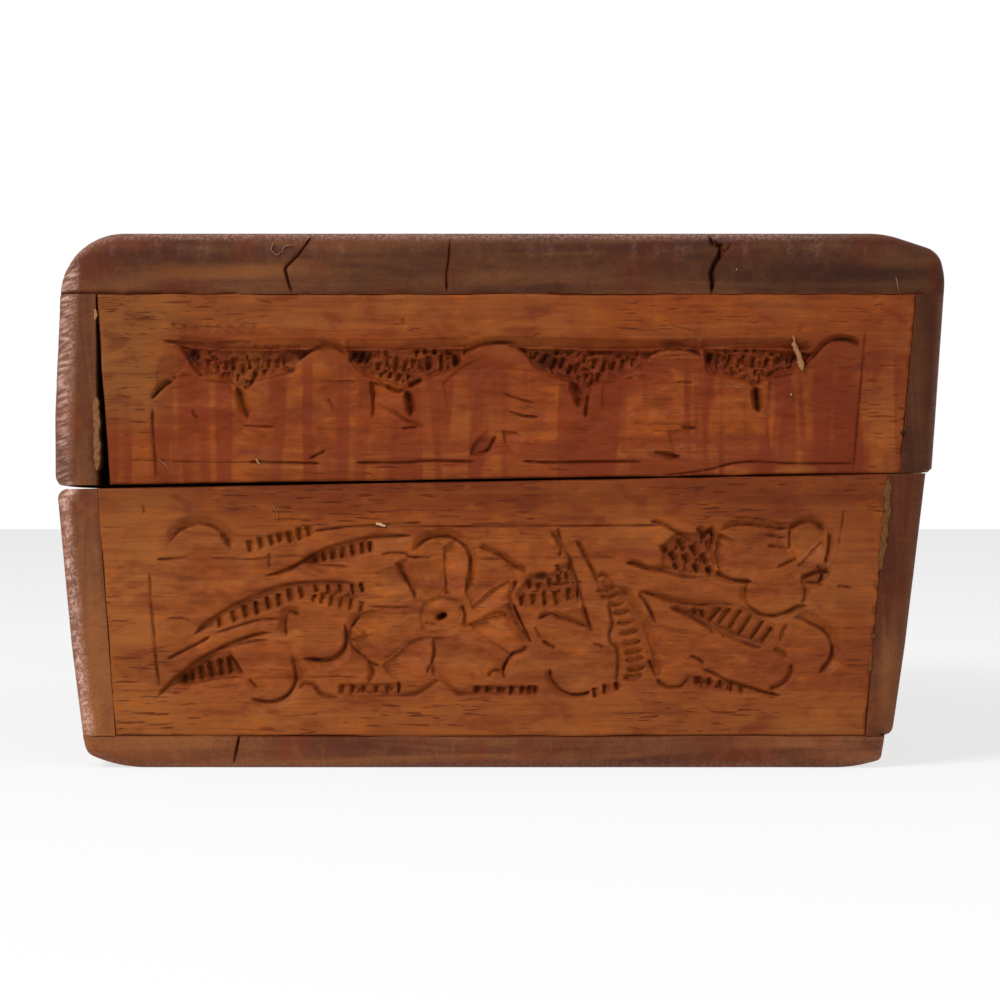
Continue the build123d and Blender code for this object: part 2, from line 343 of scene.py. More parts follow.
def waves(a, b, size_a, size_b, seed):
    """Smooth random heights from -1 to 1 over two directions."""
    table = np.random.default_rng(seed).uniform(-1, 1, (64, 64))
    p, q = a / size_a, b / size_b
    i, j = np.floor(p).astype(int), np.floor(q).astype(int)
    f, g = p - i, q - j
    f, g = f * f * (3 - 2 * f), g * g * (3 - 2 * g)

    def knot(di, dj):
        return table[(i + di) % 64, (j + dj) % 64]

    near = knot(0, 0) * (1 - f) + knot(1, 0) * f
    far = knot(0, 1) * (1 - f) + knot(1, 1) * f
    return near * (1 - g) + far * g


def crowd(share, start, end, start_cells, end_cells):
    """Moves evenly spread lines closer together where an edge is rounded."""
    share = np.asarray(share)
    out = start + (share - start_cells) / (1 - start_cells - end_cells) * (1 - start - end)
    if start_cells:
        first = start * (1 - np.cos(np.pi / 2 * np.clip(share / start_cells, 0, 1)))
        out = np.where(share < start_cells, first, out)
    if end_cells:
        last = 1 - end * (1 - np.cos(np.pi / 2 * np.clip((1 - share) / end_cells, 0, 1)))
        out = np.where(share > 1 - end_cells, last, out)
    return out


def gather(share, places, width, strength):
    """Draws evenly spread lines together round the places where the wood has split."""
    fine = np.linspace(0, 1, 2001)
    density = np.ones_like(fine)
    for place in places:
        density += strength * np.exp(-((fine - place) / width) ** 2)
    total = np.concatenate([[0], np.cumsum((density[1:] + density[:-1]) / 2)])
    return np.interp(share, total / total[-1], fine)


class Section:
    """The four edges of a board's cross-section; left and right run up, lower and upper run to +Y."""

    def __init__(self, lower, upper, left, right):
        self.lower, self.upper, self.left, self.right = lower, upper, left, right

    def places(self, across, up):
        across, up = across[:, None], up[:, None]
        a, b = across[:, 0], up[:, 0]
        edges = (1 - up) * self.lower.share(a) + up * self.upper.share(a)
        edges += (1 - across) * self.left.share(b) + across * self.right.share(b)
        corners = (1 - across) * (1 - up) * self.lower.points[0]
        corners = corners + across * (1 - up) * self.lower.points[-1]
        corners += (1 - across) * up * self.upper.points[0] + across * up * self.upper.points[-1]
        return edges - corners


# Carving

class Relief:
    """Depth of what is cut into a face, in millimetres, and how dark each place is painted, as soiling
    and as painted shade in the cuts.
    """

    def __init__(self, across, up):
        self.places = np.stack([across, up], -1)
        self.ground = np.zeros(len(across))
        self.cut = np.zeros(len(across))
        self.soil = np.zeros(len(across))
        self.rub = np.zeros(len(across))
        # pale is the painted highlight and painted shade of knife flats, added to a board's tone
        self.pale = np.zeros(len(across))
        self.flat = np.zeros(len(across))
        self.rasped = np.zeros(len(across))
        self.random = np.random.default_rng(7)

    def near(self, points, reach):
        points = np.asarray(points)
        least, most = points.min(0) - reach, points.max(0) + reach
        inside = ((self.places > least) & (self.places < most)).all(1)
        return np.nonzero(inside)[0]

    def along(self, points, indices):
        """Distance from a path, the side of it, and the share run along it, for each place."""
        path = Outline(points)
        places = self.places[indices]
        least = np.full(len(places), np.inf)
        side = np.zeros(len(places))
        share = np.zeros(len(places))
        for k, (start, end) in enumerate(zip(path.points[:-1], path.points[1:])):
            run = end - start
            length = max(float(np.hypot(*run)), 1e-9)
            offset = places - start
            t = np.clip((offset @ run) / length ** 2, 0, 1)
            gap = offset - t[:, None] * run
            distance = np.hypot(gap[:, 0], gap[:, 1])
            closer = distance < least
            least[closer] = distance[closer]
            turn = run[0] * offset[:, 1] - run[1] * offset[:, 0]
            side[closer] = np.sign(turn[closer])
            share[closer] = (path.run[k] + t[closer] * length) / path.length
        return least, side, share

    def line(self, points, width, depth, lean=0.0, taper=0.2, soil=0.8, spread=0.36, bend=True):
        """V cut along a path.

        Lean above 0 makes its left flank the longer one, below 0 its right. Taper is the share of
        the run over which each end fades out. Soil is how dark the cut is painted, as soiling and as
        painted shade in its hollow, and spread is how far from the path that darkening reaches.
        """
        if bend and len(points) > 2:
            points = smooth_path(points)
        indices = self.near(points, max(width, spread))
        if not len(indices):
            return
        distance, side, share = self.along(points, indices)
        swell = ease(np.minimum(share, 1 - share), -0.02, taper)
        reach = width / 2 * swell * np.where(side > 0, 1 + lean, 1 - lean) + 1e-6
        into = np.clip(1 - distance / reach, 0, 1)
        self.cut[indices] = np.maximum(self.cut[indices], depth * swell * into)
        broken = 0.70 + 0.42 * waves(*self.places[indices].T, 1.3, 1.1, 91)
        close = ease(1 - distance / (spread * (0.45 + 0.55 * swell)), 0, 0.9)
        dirt = soil * broken * close * ease(swell, 0, 0.5)
        self.soil[indices] = np.maximum(self.soil[indices], dirt)

    def bars(self, places, width=0.7, depth=0.5, tilt=10.0, soil=0.64):
        """Short cuts at (y, z, tall), their tops tilted to the left."""
        for y, z, tall in places:
            angle = math.radians(tilt + self.random.uniform(-6, 6))
            step = tall / 2 * np.array([-math.sin(angle), math.cos(angle)])
            middle = np.array([y, z])
            thick = width * self.random.uniform(1.0, 1.35)
            self.line([middle - step, middle + step], thick, 1.25 * depth, -0.5, 0.16, soil * 0.84, 0.42)

    def row(self, points, count, tall, width=0.6, depth=0.45, tilt=8.0, soil=0.6):
        """Even row of short cuts along a path."""
        path = Outline(smooth_path(points) if len(points) > 2 else points)
        places = [
            path.share((k + 0.5) / count) + self.random.uniform(-0.1, 0.1, 2)
            for k in range(count)
        ]
        self.bars([(y, z, tall * self.random.uniform(0.8, 1.15)) for y, z in places], width, depth,
                  tilt, soil)

    def inside(self, polygon):
        """Places inside an outline, and how far each is from its edge."""
        polygon = np.array(polygon, float)
        closed = np.vstack([polygon, polygon[:1]])
        indices = self.near(polygon, 0.1)
        places = self.places[indices]
        within = np.zeros(len(places), bool)
        for (y0, z0), (y1, z1) in zip(closed[:-1], closed[1:]):
            if z0 == z1:
                continue
            spans = (z0 > places[:, 1]) != (z1 > places[:, 1])
            edge = y0 + (places[:, 1] - z0) / (z1 - z0) * (y1 - y0)
            within ^= spans & (places[:, 0] < edge)
        indices = indices[within]
        return indices, Outline(closed).distance(self.places[indices])

    def lower(self, polygon, depth, soft=0.35, soil=0.35, rough=0.0):
        """Takes a region down, with sloping sides and a floor that may be left rough; the floor is
        painted darker, as soiling and as painted shade in the recess.
        """
        indices, deep = self.inside(polygon)
        y, z = self.places[indices].T
        uneven = waves(y, z, 0.62, 0.85, 93) + 0.5 * waves(y, z, 0.34, 0.4, 94)
        down = (depth + rough * uneven) * ease(deep, 0, soft)
        self.ground[indices] = np.maximum(self.ground[indices], down)
        dirt = soil * (1.35 + 0.6 * uneven * (rough > 0)) * ease(deep, 0, soft)
        self.soil[indices] = np.maximum(self.soil[indices], dirt)

    def stipple(self, polygon, count, seed, tall=0.8, soil=0.5):
        """Small cuts scattered over a region, as a punch or a knife point leaves them."""
        draw = np.random.default_rng(seed)
        indices, deep = self.inside(polygon)
        indices = indices[deep > 0.35]
        for k in draw.choice(len(indices), count, replace=False):
            middle = self.places[indices[k]]
            angle = math.radians(draw.uniform(-35, 35))
            step = tall * draw.uniform(0.3, 0.6) * np.array([-math.sin(angle), math.cos(angle)])
            self.line([middle - step, middle + step], 0.5 * draw.uniform(0.8, 1.2), 0.35, -0.4, 0.1,
                      soil, 0.26)

    def facet(self, polygon, shallow, deep, depth, pale=0.0):
        """Flat knife cut that sinks from one place to another. Pale above 0 is a painted highlight on
        the flat, and below 0 a painted shade.
        """
        indices, edge = self.inside(polygon)
        run = np.array(deep, float) - shallow
        t = np.clip(((self.places[indices] - shallow) @ run) / (run @ run), 0, 1)
        self.ground[indices] = np.maximum(self.ground[indices], depth * t * ease(edge, -0.1, 0.2))
        self.pale[indices] = pale * ease(edge, 0, 0.3)

    def dish(self, middle, radius, depth, stretch=1.0, soil=0.0):
        """Shallow hollow scooped round a place, which may be painted darker inside as painted shade."""
        indices = self.near([middle], radius * max(1.0, stretch))
        gap = self.places[indices] - np.array(middle)
        far = np.hypot(gap[:, 0] / stretch, gap[:, 1]) / radius
        self.ground[indices] += depth * ease(1 - far, 0, 1)
        self.soil[indices] = np.maximum(self.soil[indices], soil * ease(1 - far, 0, 0.7))

    def depth(self):
        return self.ground + self.cut


def smooth_path(points):
    """Curve through points, each taken in turn."""
    p = np.array(points, float)
    p = np.vstack([2 * p[0] - p[1], p, 2 * p[-1] - p[-2]])
    out = []
    for k in range(1, len(p) - 2):
        for t in np.linspace(0, 1, curve_steps, endpoint=False):
            a = 2 * p[k]
            b = (p[k + 1] - p[k - 1]) * t
            c = (2 * p[k - 1] - 5 * p[k] + 4 * p[k + 1] - p[k + 2]) * t ** 2
            d = (3 * p[k] - p[k - 1] - 3 * p[k + 1] + p[k + 2]) * t ** 3
            out.append((a + b + c + d) / 2)
    out.append(p[-2])
    return np.array(out)


def pared(relief, share, seed):
    """Shallow uneven flats that a knife leaves where it has worked over a region, with painted highlight
    and painted shade over them.
    """
    y, z = relief.places.T
    flats = waves(y + 0.4 * z, z, 2.6, 1.5, seed)
    relief.ground += 0.17 * share * (1 + flats)
    relief.ground += 0.07 * share * (1 + waves(y, z + 0.2 * y, 0.9, 0.6, seed + 1))
    # Painted highlight and painted shade over the flats, darker where they are cut deepest
    relief.pale += share * (0.05 + 0.08 * waves(y, z, 2.1, 1.1, seed + 2) - 0.05 * ease(flats, 0.1, 0.6))
    relief.flat = np.maximum(relief.flat, share)


def carve_base_end(relief):
    """Flower among notched leaves, cut line by line with a knife and a small V tool."""
    line, bars, facet, lower, dish = relief.line, relief.bars, relief.facet, relief.lower, relief.dish
    # Grounds of the notched bands, a little lower than the face and painted darker, as soiling and as
    # painted shade
    lower([(-24.2, 24.9), (-22, 26.2), (-19.5, 27.1), (-16.5, 27.7), (-15, 27.6), (-15.6, 25.8),
           (-18, 25.0), (-21, 24.5), (-23, 24.3)], 0.3, 0.5, 0.22)
    lower([(-36.2, 16.9), (-34.8, 18.1), (-31.5, 20.1), (-28, 21.6), (-24, 22.5), (-18, 22.5),
           (-17.5, 19.2), (-20, 19.2), (-22, 20.4), (-25, 19.8), (-28, 18.7), (-31, 17.8),
           (-34, 16.7)], 0.3, 0.5, 0.18)
    lower([(-40, 9.9), (-38, 12), (-35, 14), (-32.5, 14.4), (-31, 11.2), (-34, 10.8), (-38.5, 10)],
          0.4, 0.4, 0.3)
    lower([(1.6, 20.8), (3.4, 23.5), (6.0, 23.6), (8.0, 25.0), (9.0, 24.0), (10.0, 20.0),
           (9.6, 19.2), (6, 18.9), (3.0, 19.0)], 0.4, 0.5, 0.25)
    lower([(12, 22.8), (13.4, 23.0), (14.8, 21.5), (16.8, 18.2), (18.2, 14.5), (18.9, 11.2),
           (14.2, 10.2), (14.3, 14), (13.3, 15.6), (13.6, 18), (13.0, 20.6)], 0.3, 0.5, 0.10)
    lower([(19.4, 27), (21.4, 28.8), (23.5, 28.6), (25.8, 29.2), (26.2, 27.4), (25.4, 25.4),
           (26.2, 23.2), (22, 23.2), (19.4, 24.0)], 0.4, 0.5, 0.30)
    lower([(22.2, 18.9), (24.5, 19.8), (29.6, 19.7), (33.4, 17.6), (33.2, 15.2), (31.8, 14.5),
           (28.6, 15.5), (25.4, 17.0)], 0.35, 0.4, 0.22)
    lower([(36.2, 23.4), (39.6, 24.4), (40.2, 23.2), (38.6, 21.8), (36.8, 22.0)], 0.4, 0.4, 0.3)
    lower([(-19.6, 10.2), (-12.0, 10.4), (-11.8, 8.8), (-19.8, 8.6)], 0.25, 0.3, 0.2)
    lower([(-3.4, 10.0), (4.6, 9.9), (4.6, 8.7), (-3.4, 8.9)], 0.25, 0.3, 0.2)
    lower([(22.4, 11.4), (27, 10.6), (29.8, 9.9), (29.6, 9.0), (22.4, 9.7)], 0.25, 0.3, 0.2)
    for k, (count, field) in enumerate((
        (10, [(2.2, 21.0), (3.4, 23.2), (6.0, 23.4), (8.0, 24.6), (9.0, 23.6), (9.8, 20.2),
              (6.0, 19.2), (3.0, 19.3)]),
        (12, [(19.8, 26.8), (21.6, 28.4), (23.5, 28.3), (25.6, 28.8), (25.9, 27.2), (25.2, 25.4),
              (25.8, 23.5), (22, 23.5)]),
        (8, [(-22.8, 21.6), (-16.6, 22.0), (-16.6, 19.6), (-20.0, 19.6), (-22.0, 20.6)]),
        (7, [(-19.4, 10.0), (-12.2, 10.2), (-12.0, 9.0), (-19.6, 8.8)]),
        (7, [(-3.2, 9.9), (4.4, 9.8), (4.4, 8.9), (-3.2, 9.0)]),
        (8, [(22.6, 11.2), (27.0, 10.4), (29.6, 9.8), (29.4, 9.2), (22.6, 9.9)]),
    )):
        relief.stipple(field, count, 161 + k, 0.7, 0.42)
    # Flat cuts of the flower's petals, some painted paler as a painted highlight
    facet([(-18.0, 15.6), (-16.4, 13.3), (-14.4, 12.5), (-10.2, 15.8), (-10.2, 17.0), (-12.2, 17.6),
           (-16.2, 16.2)], (-12.8, 17.2), (-14.4, 12.8), 0.6, 0.02)
    facet([(-16.6, 18.9), (-18.0, 17.2), (-16.2, 16.2), (-12.2, 17.6), (-10.2, 18.6), (-10.6, 19.5)],
          (-12.6, 19.3), (-13.6, 16.9), 0.45, 0.0)
    facet([(-14.2, 12.4), (-10.0, 15.7), (-8.2, 15.9), (-8.1, 12.6), (-8.4, 10.4), (-12.2, 10.6),
           (-13.6, 11.4)], (-8.8, 12.2), (-12.0, 14.2), 0.5, 0.08)
    facet([(-8.0, 15.9), (-5.6, 15.8), (-3.0, 13.0), (-2.0, 10.6), (-6, 10.2), (-7.9, 11.0)],
          (-5.0, 12.6), (-8, 13.2), 0.4)
    facet([(-4.6, 16.4), (-2.4, 16.2), (1.2, 13.9), (0.6, 11.8), (-1.6, 10.8), (-3.2, 12.6)],
          (-3.6, 13.4), (0.9, 12.6), 0.4)
    facet([(-3.9, 17.4), (-2.0, 18.1), (0.7, 18.7), (2.6, 15.3), (1.4, 14.0), (-2.0, 15.9)],
          (-0.2, 15.6), (-1.0, 18.4), 0.65, 0.06)
    facet([(-3.6, 19.3), (-1.0, 21.6), (1.2, 22.8), (1.6, 21.3), (0.9, 19.2), (-2.0, 18.4)],
          (-0.3, 19.3), (-1.5, 21.7), 0.75, 0.12)
    facet([(-4.2, 21.2), (-3.4, 25.2), (-1.8, 26.2), (1.6, 24.0), (1.9, 22.8), (-1.0, 21.7),
           (-3.4, 19.6)], (-1.6, 25.2), (-0.6, 22.0), 0.45)
    facet([(-6.9, 26.6), (-5.4, 27.7), (-3.9, 26), (-3.9, 23), (-4.4, 20.8), (-6.6, 21)],
          (-4.2, 24), (-6.8, 24.2), 0.65, 0.10)
    facet([(-10.4, 26.0), (-8.8, 27.3), (-7.2, 27.6), (-6.9, 26.4), (-6.7, 21.2), (-9.6, 20.6),
           (-10.2, 21)], (-9.8, 24.6), (-7.0, 23.2), 0.4)
    facet([(-12.6, 24.8), (-10.8, 25.6), (-10.0, 21.2), (-10.2, 20.4)], (-10.0, 23.4),
          (-11.6, 23.0), 0.55, 0.06)
    facet([(-17, 23), (-13, 24.4), (-11.2, 22.2), (-10.4, 20.4), (-12.4, 19.8), (-16.4, 20.4)],
          (-16.4, 22.4), (-11, 21.2), 0.4)
    # Flat cuts of the fruits at the right, some painted paler as a painted highlight
    facet([(26.4, 28.4), (25.9, 26), (26.4, 24), (28.2, 22.9), (29.6, 24.4), (28.6, 27.4)],
          (29.4, 25.6), (26.2, 25.8), 0.7, 0.05)
    facet([(35.9, 24.4), (38.9, 27.6), (39.5, 25.8), (38.8, 24.3)], (38.9, 24.6), (36.9, 26.2), 0.6,
          0.12)
    facet([(35.2, 26.2), (35.3, 28.8), (37.4, 29.4), (39.2, 28.2), (38.9, 27.6), (36, 24.6)],
          (36, 28.6), (37.6, 25.9), 0.4)
    dish((31.8, 26.2), 3.2, 0.35)
    dish((33.2, 21.2), 2.2, 0.2)
    # Round fruits, cut steep on their own side and sloped away from them
    line([(-40.1, 26.9), (-39.2, 28.3), (-38, 29.1), (-36.4, 29.5), (-35, 29.3), (-33.8, 28.6),
          (-32.9, 27.5), (-32.5, 26.1)], 1.5, 0.6, 0.6, 0.14)
    line([(-34.0, 28.6), (-33.1, 27.7), (-32.6, 26.4)], 1.6, 0.8, 0.3, 0.3, 0.9, 0.6)
    line([(-24.0, 18.5), (-25.5, 18.8), (-25.9, 17.9), (-26.0, 16.8), (-25.7, 15.8)], 1.3, 0.6,
         -0.5, 0.16)
    line([(-18.9, 17.8), (-18.6, 16.4), (-18.6, 15.2), (-19.0, 14.2), (-19.9, 13.4), (-21.2, 13.0),
          (-22.6, 13.1), (-24.2, 13.3)], 1.5, 0.7, 0.5, 0.2, 0.9, 0.5)
    line([(-25.3, 13.8), (-24.8, 12.2), (-24.7, 10.8), (-25.1, 9.6), (-26.0, 8.6), (-27.6, 8.0),
          (-29.0, 8.1), (-30.3, 8.5)], 1.3, 0.6, 0.5, 0.14)
    line([(-30.4, 11.0), (-29.9, 10.2), (-29.2, 9.4)], 0.9, 0.45, -0.4, 0.3, 0.6)
    line([(35.3, 18.3), (36.5, 18.0), (37.5, 17.5), (38.6, 17.0), (39.6, 16.2), (40.1, 15.2),
          (40.2, 14.3), (40.0, 13.4), (39.5, 12.6), (38.8, 11.8), (38.5, 11.2)], 1.6, 0.65, 0.6,
          0.12, 0.85)
    line([(34.8, 17.6), (34.1, 16.4), (33.9, 14.9)], 0.9, 0.4, 0.5, 0.3, 0.4)
    dish((-22.3, 16.0), 3.0, 0.15)
    dish((-28.0, 11.9), 2.6, 0.15)
    # Leaves at the left
    line([(-28.8, 23.1), (-26.2, 23.8), (-24.5, 24.6), (-23, 25.5), (-21.5, 26.3), (-19.5, 27),
          (-17.5, 27.5), (-15, 28), (-12, 28.1), (-10.2, 28.0)], 1.2, 0.55, -0.5, 0.12)
    dish((-22.6, 25.2), 1.4, 0.35, 1.3, 0.55)
    bars([(-22.6, 25.3, 1.4), (-21.5, 25.6, 1.5), (-20.4, 25.9, 1.7), (-19.2, 26.1, 1.7),
          (-18.0, 26.4, 1.8), (-16.8, 26.6, 1.6), (-15.8, 26.7, 1.5)], 0.75, 0.6)
    line([(-24.0, 24.3), (-20.0, 24.4), (-17.4, 24.1)], 0.7, 0.3, -0.4, 0.3, 0.35)
    line([(-37.4, 15.9), (-36, 16.9), (-34.8, 18), (-33, 19.2), (-31.5, 20), (-30, 20.7),
          (-28, 21.5), (-26, 22.05), (-24, 22.4), (-21, 22.5), (-17.8, 22.4)], 1.2, 0.5, -0.5, 0.1, 0.7)
    line([(-36.8, 16.3), (-35.4, 17.6), (-34.2, 18.2)], 1.1, 0.6, -0.3, 0.3, 0.8, 0.6)
    bars([(-34.1, 17.6, 1.5), (-32.4, 18.3, 1.7), (-31.0, 18.9, 1.8), (-29.6, 19.3, 1.9),
          (-28.2, 19.9, 1.8), (-26.9, 20.3, 1.8), (-25.6, 20.9, 1.8), (-24.2, 21.2, 1.7),
          (-22.4, 21.7, 1.2), (-20.9, 21.6, 1.4), (-19.4, 21.6, 1.5), (-17.9, 21.6, 1.5),
          (-16.8, 21.8, 1.4)], 0.75, 0.6, 14)
    bars([(-22.6, 20.5, 1.0), (-21.6, 20.4, 1.3), (-20.5, 20.2, 1.6), (-19.3, 20.0, 1.7),
          (-18.1, 19.8, 1.7), (-16.9, 19.5, 1.5)], 0.7, 0.5, -8)
    line([(-22.6, 21.1), (-20.4, 20.9), (-18.4, 20.6), (-16.6, 20.6)], 0.5, 0.3, 0.3, 0.2, 0.5)
    line([(-34.9, 16.1), (-32.6, 16.9), (-29.6, 17.8), (-27.5, 18), (-25.9, 17.9)], 0.8, 0.3, -0.6,
         0.2, 0.45)
    line([(-40.4, 13.1), (-38.2, 14.2), (-36.3, 15.2), (-34.9, 16.0)], 0.7, 0.4, -0.4, 0.14, 0.75)
    line([(-41.6, 8.3), (-40.6, 9.5), (-39.4, 10.7), (-38, 11.9), (-36.5, 13), (-34.8, 14), (-33, 14.9),
          (-31.5, 15.5), (-30, 16), (-28.5, 16.3), (-27.4, 16.3)], 1.2, 0.55, -0.5, 0.1)
    line([(-34.0, 14.2), (-32, 14.9), (-30, 15.3), (-27.6, 15.5)], 0.8, 0.4, 0.3, 0.2, 0.8)
    dish((-38.2, 10.8), 1.2, 0.4, 1.4, 0.6)
    bars([(-38.4, 10.8, 1.3), (-37.4, 11.1, 1.7), (-36.3, 11.4, 2.1), (-35.1, 11.8, 2.4),
          (-33.9, 12.1, 2.5), (-32.8, 12.4, 2.3)], 0.85, 0.7, 8, 0.75)
    line([(-32.8, 13.8), (-31.9, 12.6), (-31.0, 11.0)], 0.8, 0.5, -0.4, 0.2)
    line([(-38.8, 10.1), (-36.5, 10.4), (-34, 10.9), (-31.1, 10.9)], 0.9, 0.45, 0.4, 0.14)
    bars([(-30.4, 26.8, 1.7), (-29.1, 27.2, 1.7), (-27.8, 27.5, 1.5), (-26.8, 27.8, 1.2),
          (-25.6, 27.9, 1.7), (-24.4, 28.3, 1.8), (-23.3, 28.6, 1.5)], 0.85, 0.55, 14)
    line([(-27.9, 26.1), (-27.9, 24.0)], 0.6, 0.3, 0, 0.2, 0.6)
    # Curves between leaves and flower
    line([(-16.6, 18.9), (-17.7, 17.5), (-18.2, 16.0), (-17.9, 14.7), (-17.0, 13.8), (-16.0, 13.0),
          (-15.3, 12.5), (-14.4, 12.3)], 1.2, 0.55, -0.5, 0.12, 0.8)
    line([(-14.4, 12.4), (-13.2, 13.4), (-12.1, 14.2), (-11, 15.0), (-10, 15.8)], 0.6, 0.35, 0.3,
         0.2, 0.55)
    line([(-16.2, 13.2), (-15.5, 12.2), (-15.4, 11.2), (-16.0, 10.2)], 1.0, 0.65, -0.3, 0.2, 0.85)
    line([(-24.7, 9.4), (-23.5, 10.1), (-22.5, 9.9), (-21.8, 9.0), (-20.6, 8.5), (-19.4, 8.5)], 0.9,
         0.45, 0.3, 0.14)
    bars([(-19.2, 9.5, 1.1), (-17.9, 9.5, 1.2), (-16.6, 9.4, 1.1), (-15.1, 9.4, 1.1), (-13.7, 9.5, 1.2),
          (-12.3, 9.7, 1.5)], 0.65, 0.45, 2)
    line([(-18.5, 8.7), (-12.4, 8.8), (-10.3, 8.9), (-8.7, 9.6), (-7.2, 10.6), (-6, 9.7), (-5, 9.0),
          (-3.4, 8.9)], 0.8, 0.4, 0.4, 0.06, 0.7)
    # Flower
    heart = (-7.1, 18.3)
    lower([(-9.5, 16.4), (-9.9, 18.5), (-9.3, 20.2), (-7.2, 20.9), (-5, 20.3), (-4.4, 18.5),
           (-5, 16.6), (-6.6, 15.8), (-8.3, 15.9)], 0.30, 0.35, 0.0)
    dish(heart, 1.5, 0.25)
    line([(heart[0] - 0.25, heart[1] - 0.10), (heart[0] + 0.25, heart[1] + 0.12)], 0.95, 1.5, 0,
         0.0001, 0.9, 0.66)
    line([(-9.4, 17.6), (-8.2, 17.3), (-7.2, 17.0)], 0.5, 0.25, 0, 0.3, 0.5)
    line([(-4.7, 19.9), (-4.3, 18.6), (-4.2, 17.4), (-3.9, 16.8)], 1.0, 0.6, -0.3, 0.2, 0.85)
    line([(-10.7, 26.0), (-9.8, 26.9), (-8.9, 27.6), (-7.5, 27.95), (-6, 27.9), (-5, 27.4),
          (-4.1, 26.6), (-3.6, 25.5), (-3.6, 24), (-3.9, 22.5), (-4.2, 21.1)], 1.3, 0.65, 0.5, 0.1, 0.85)
    line([(-14.5, 25.7), (-13.2, 26.0), (-11.5, 25.9), (-10.8, 25.5), (-8, 25.4)], 0.5, 0.3, 0, 0.1, 0.7)
    line([(-6.9, 26.6), (-6.8, 24.0), (-6.6, 21.6)], 0.5, 0.2, 0, 0.2, 0.35)
    line([(-12.8, 25.0), (-11.8, 23.5), (-11.1, 22.4), (-10.4, 21.2), (-10.1, 20.2)], 0.8, 0.4, 0.3,
         0.16, 0.65)
    line([(-16.2, 19.5), (-12.5, 19.4), (-10.4, 19.5)], 0.6, 0.3, -0.4, 0.2, 0.5)
    line([(-16.5, 16.8), (-16.2, 15.9), (-15.9, 15.6)], 0.5, 0.25, 0, 0.3, 0.4)
    line([(-8.1, 15.9), (-8.0, 13.9), (-8.2, 12.7), (-7.9, 10.9)], 0.7, 0.45, 0.2, 0.12, 0.7)
    line([(-8.2, 12.8), (-8.7, 11.8), (-8.6, 11.2)], 0.5, 0.3, 0, 0.3, 0.6)
    line([(-2.7, 26.8), (-1.5, 26.3), (-0.3, 25.8), (1, 24.9), (2, 24.2), (3.4, 23.5)], 1.0, 0.55,
         0.5, 0.12, 0.8)
    line([(-0.5, 26.0), (0.4, 25.6)], 0.9, 0.5, 0, 0.3, 0.95)
    line([(2.0, 22.8), (1.7, 21.8), (1.2, 20.6), (1.6, 19.6)], 0.9, 0.5, -0.3, 0.16, 0.75)
    line([(-2.2, 18.1), (-0.6, 18.6), (0.8, 18.9)], 0.8, 0.45, 0.4, 0.2, 0.7)
    line([(1.0, 20.2), (1.4, 18.8), (2.1, 17.4), (2.9, 16.1), (3.6, 15.1)], 1.7, 0.7, -0.35, 0.12,
         0.55, 0.5)
    line([(1.5, 20.0), (2.2, 18.4), (3.0, 16.7), (3.8, 15.0)], 0.5, 0.6, 0, 0.12, 0.9, 0.35)
    line([(3.3, 14.9), (2.6, 14.2), (1.5, 13.8), (0.8, 12.8), (0.4, 11.9), (0.6, 10.6)], 1.1, 0.55,
         0.5, 0.14, 0.85)
    line([(-1.4, 10.8), (-1.0, 11.6), (-0.2, 11.7), (0.3, 11.3)], 0.7, 0.4, 0, 0.2, 0.75)
    bars([(-2.9, 9.5, 1.0), (-1.6, 9.5, 0.9), (-0.2, 9.4, 0.9), (1.3, 9.4, 1.3), (2.6, 9.4, 1.1),
          (3.5, 9.4, 1.2), (4.2, 9.4, 1.1)], 0.75, 0.5, 2, 0.8)
    # Hatched field between flower and blade
    dish((5.0, 23.2), 0.8, 0.3, 1.6, 0.8)
    bars([(2.5, 20.2, 1.3), (3.9, 20.4, 1.4), (5.3, 20.5, 2.0), (6.7, 20.5, 2.0), (8.2, 21.0, 1.7),
          (9.4, 21.6, 2.4)], 0.75, 0.6, 8, 0.75)
    bars([(3.4, 22.2, 1.2), (4.6, 21.9, 0.9), (5.9, 22.4, 1.1), (7.0, 22.9, 1.1), (8.0, 23.1, 1.2),
          (6.9, 24.2, 0.9), (8.3, 24.4, 0.9)], 0.7, 0.5, 18, 0.7)
    line([(6.0, 22.2), (7.4, 22.2), (8.6, 22.4)], 0.5, 0.35, 0, 0.2, 0.65)
    line([(3.2, 21.2), (6.4, 21.3), (9.2, 20.0)], 0.4, 0.25, 0, 0.2, 0.5)
    line([(8.3, 25.4), (8.8, 24), (9.2, 22.8), (9.6, 21.5), (10, 20), (10.4, 18.8), (10.7, 17.7),
          (11.2, 16.3)], 1.0, 0.6, -0.4, 0.08, 0.75)
    line([(4.4, 17.9), (5.5, 18.4), (6.3, 18.6), (7.3, 18.1), (8.6, 17.7), (10.7, 17.0)], 0.9, 0.5,
         0.4, 0.12, 0.8)
    line([(6.0, 28.7), (6.7, 27.9), (7.3, 26.9), (8.2, 25.8), (8.9, 24.5)], 0.8, 0.45, 0, 0.14, 0.75)
    line([(6.9, 29.1), (7.2, 28), (7.5, 26.7), (7.1, 25.4)], 0.7, 0.45, 0, 0.14, 0.7)
    line([(5.0, 15.5), (5.8, 14.9), (6.9, 14.2)], 0.7, 0.45, 0, 0.2, 0.85)
    line([(4.2, 17.2), (4.6, 16.3), (5.1, 15.4)], 0.5, 0.3, 0, 0.2, 0.5)
    line([(6.0, 12.1), (6.2, 10.8), (6.8, 9.9), (7.6, 9.2), (8.8, 8.85), (10.2, 8.95), (11.0, 9.3)],
         1.0, 0.55, -0.4, 0.1, 0.9)
    bars([(11.4, 9.1, 1.3), (12.6, 9.5, 1.3), (14.0, 9.9, 1.1)], 0.9, 0.55, 8, 0.85)
    line([(11.2, 15.0), (12.0, 14.8), (12.6, 14.4)], 0.5, 0.3, 0, 0.2, 0.75)
    dish((8.2, 12.4), 2.4, 0.2, 1.4)
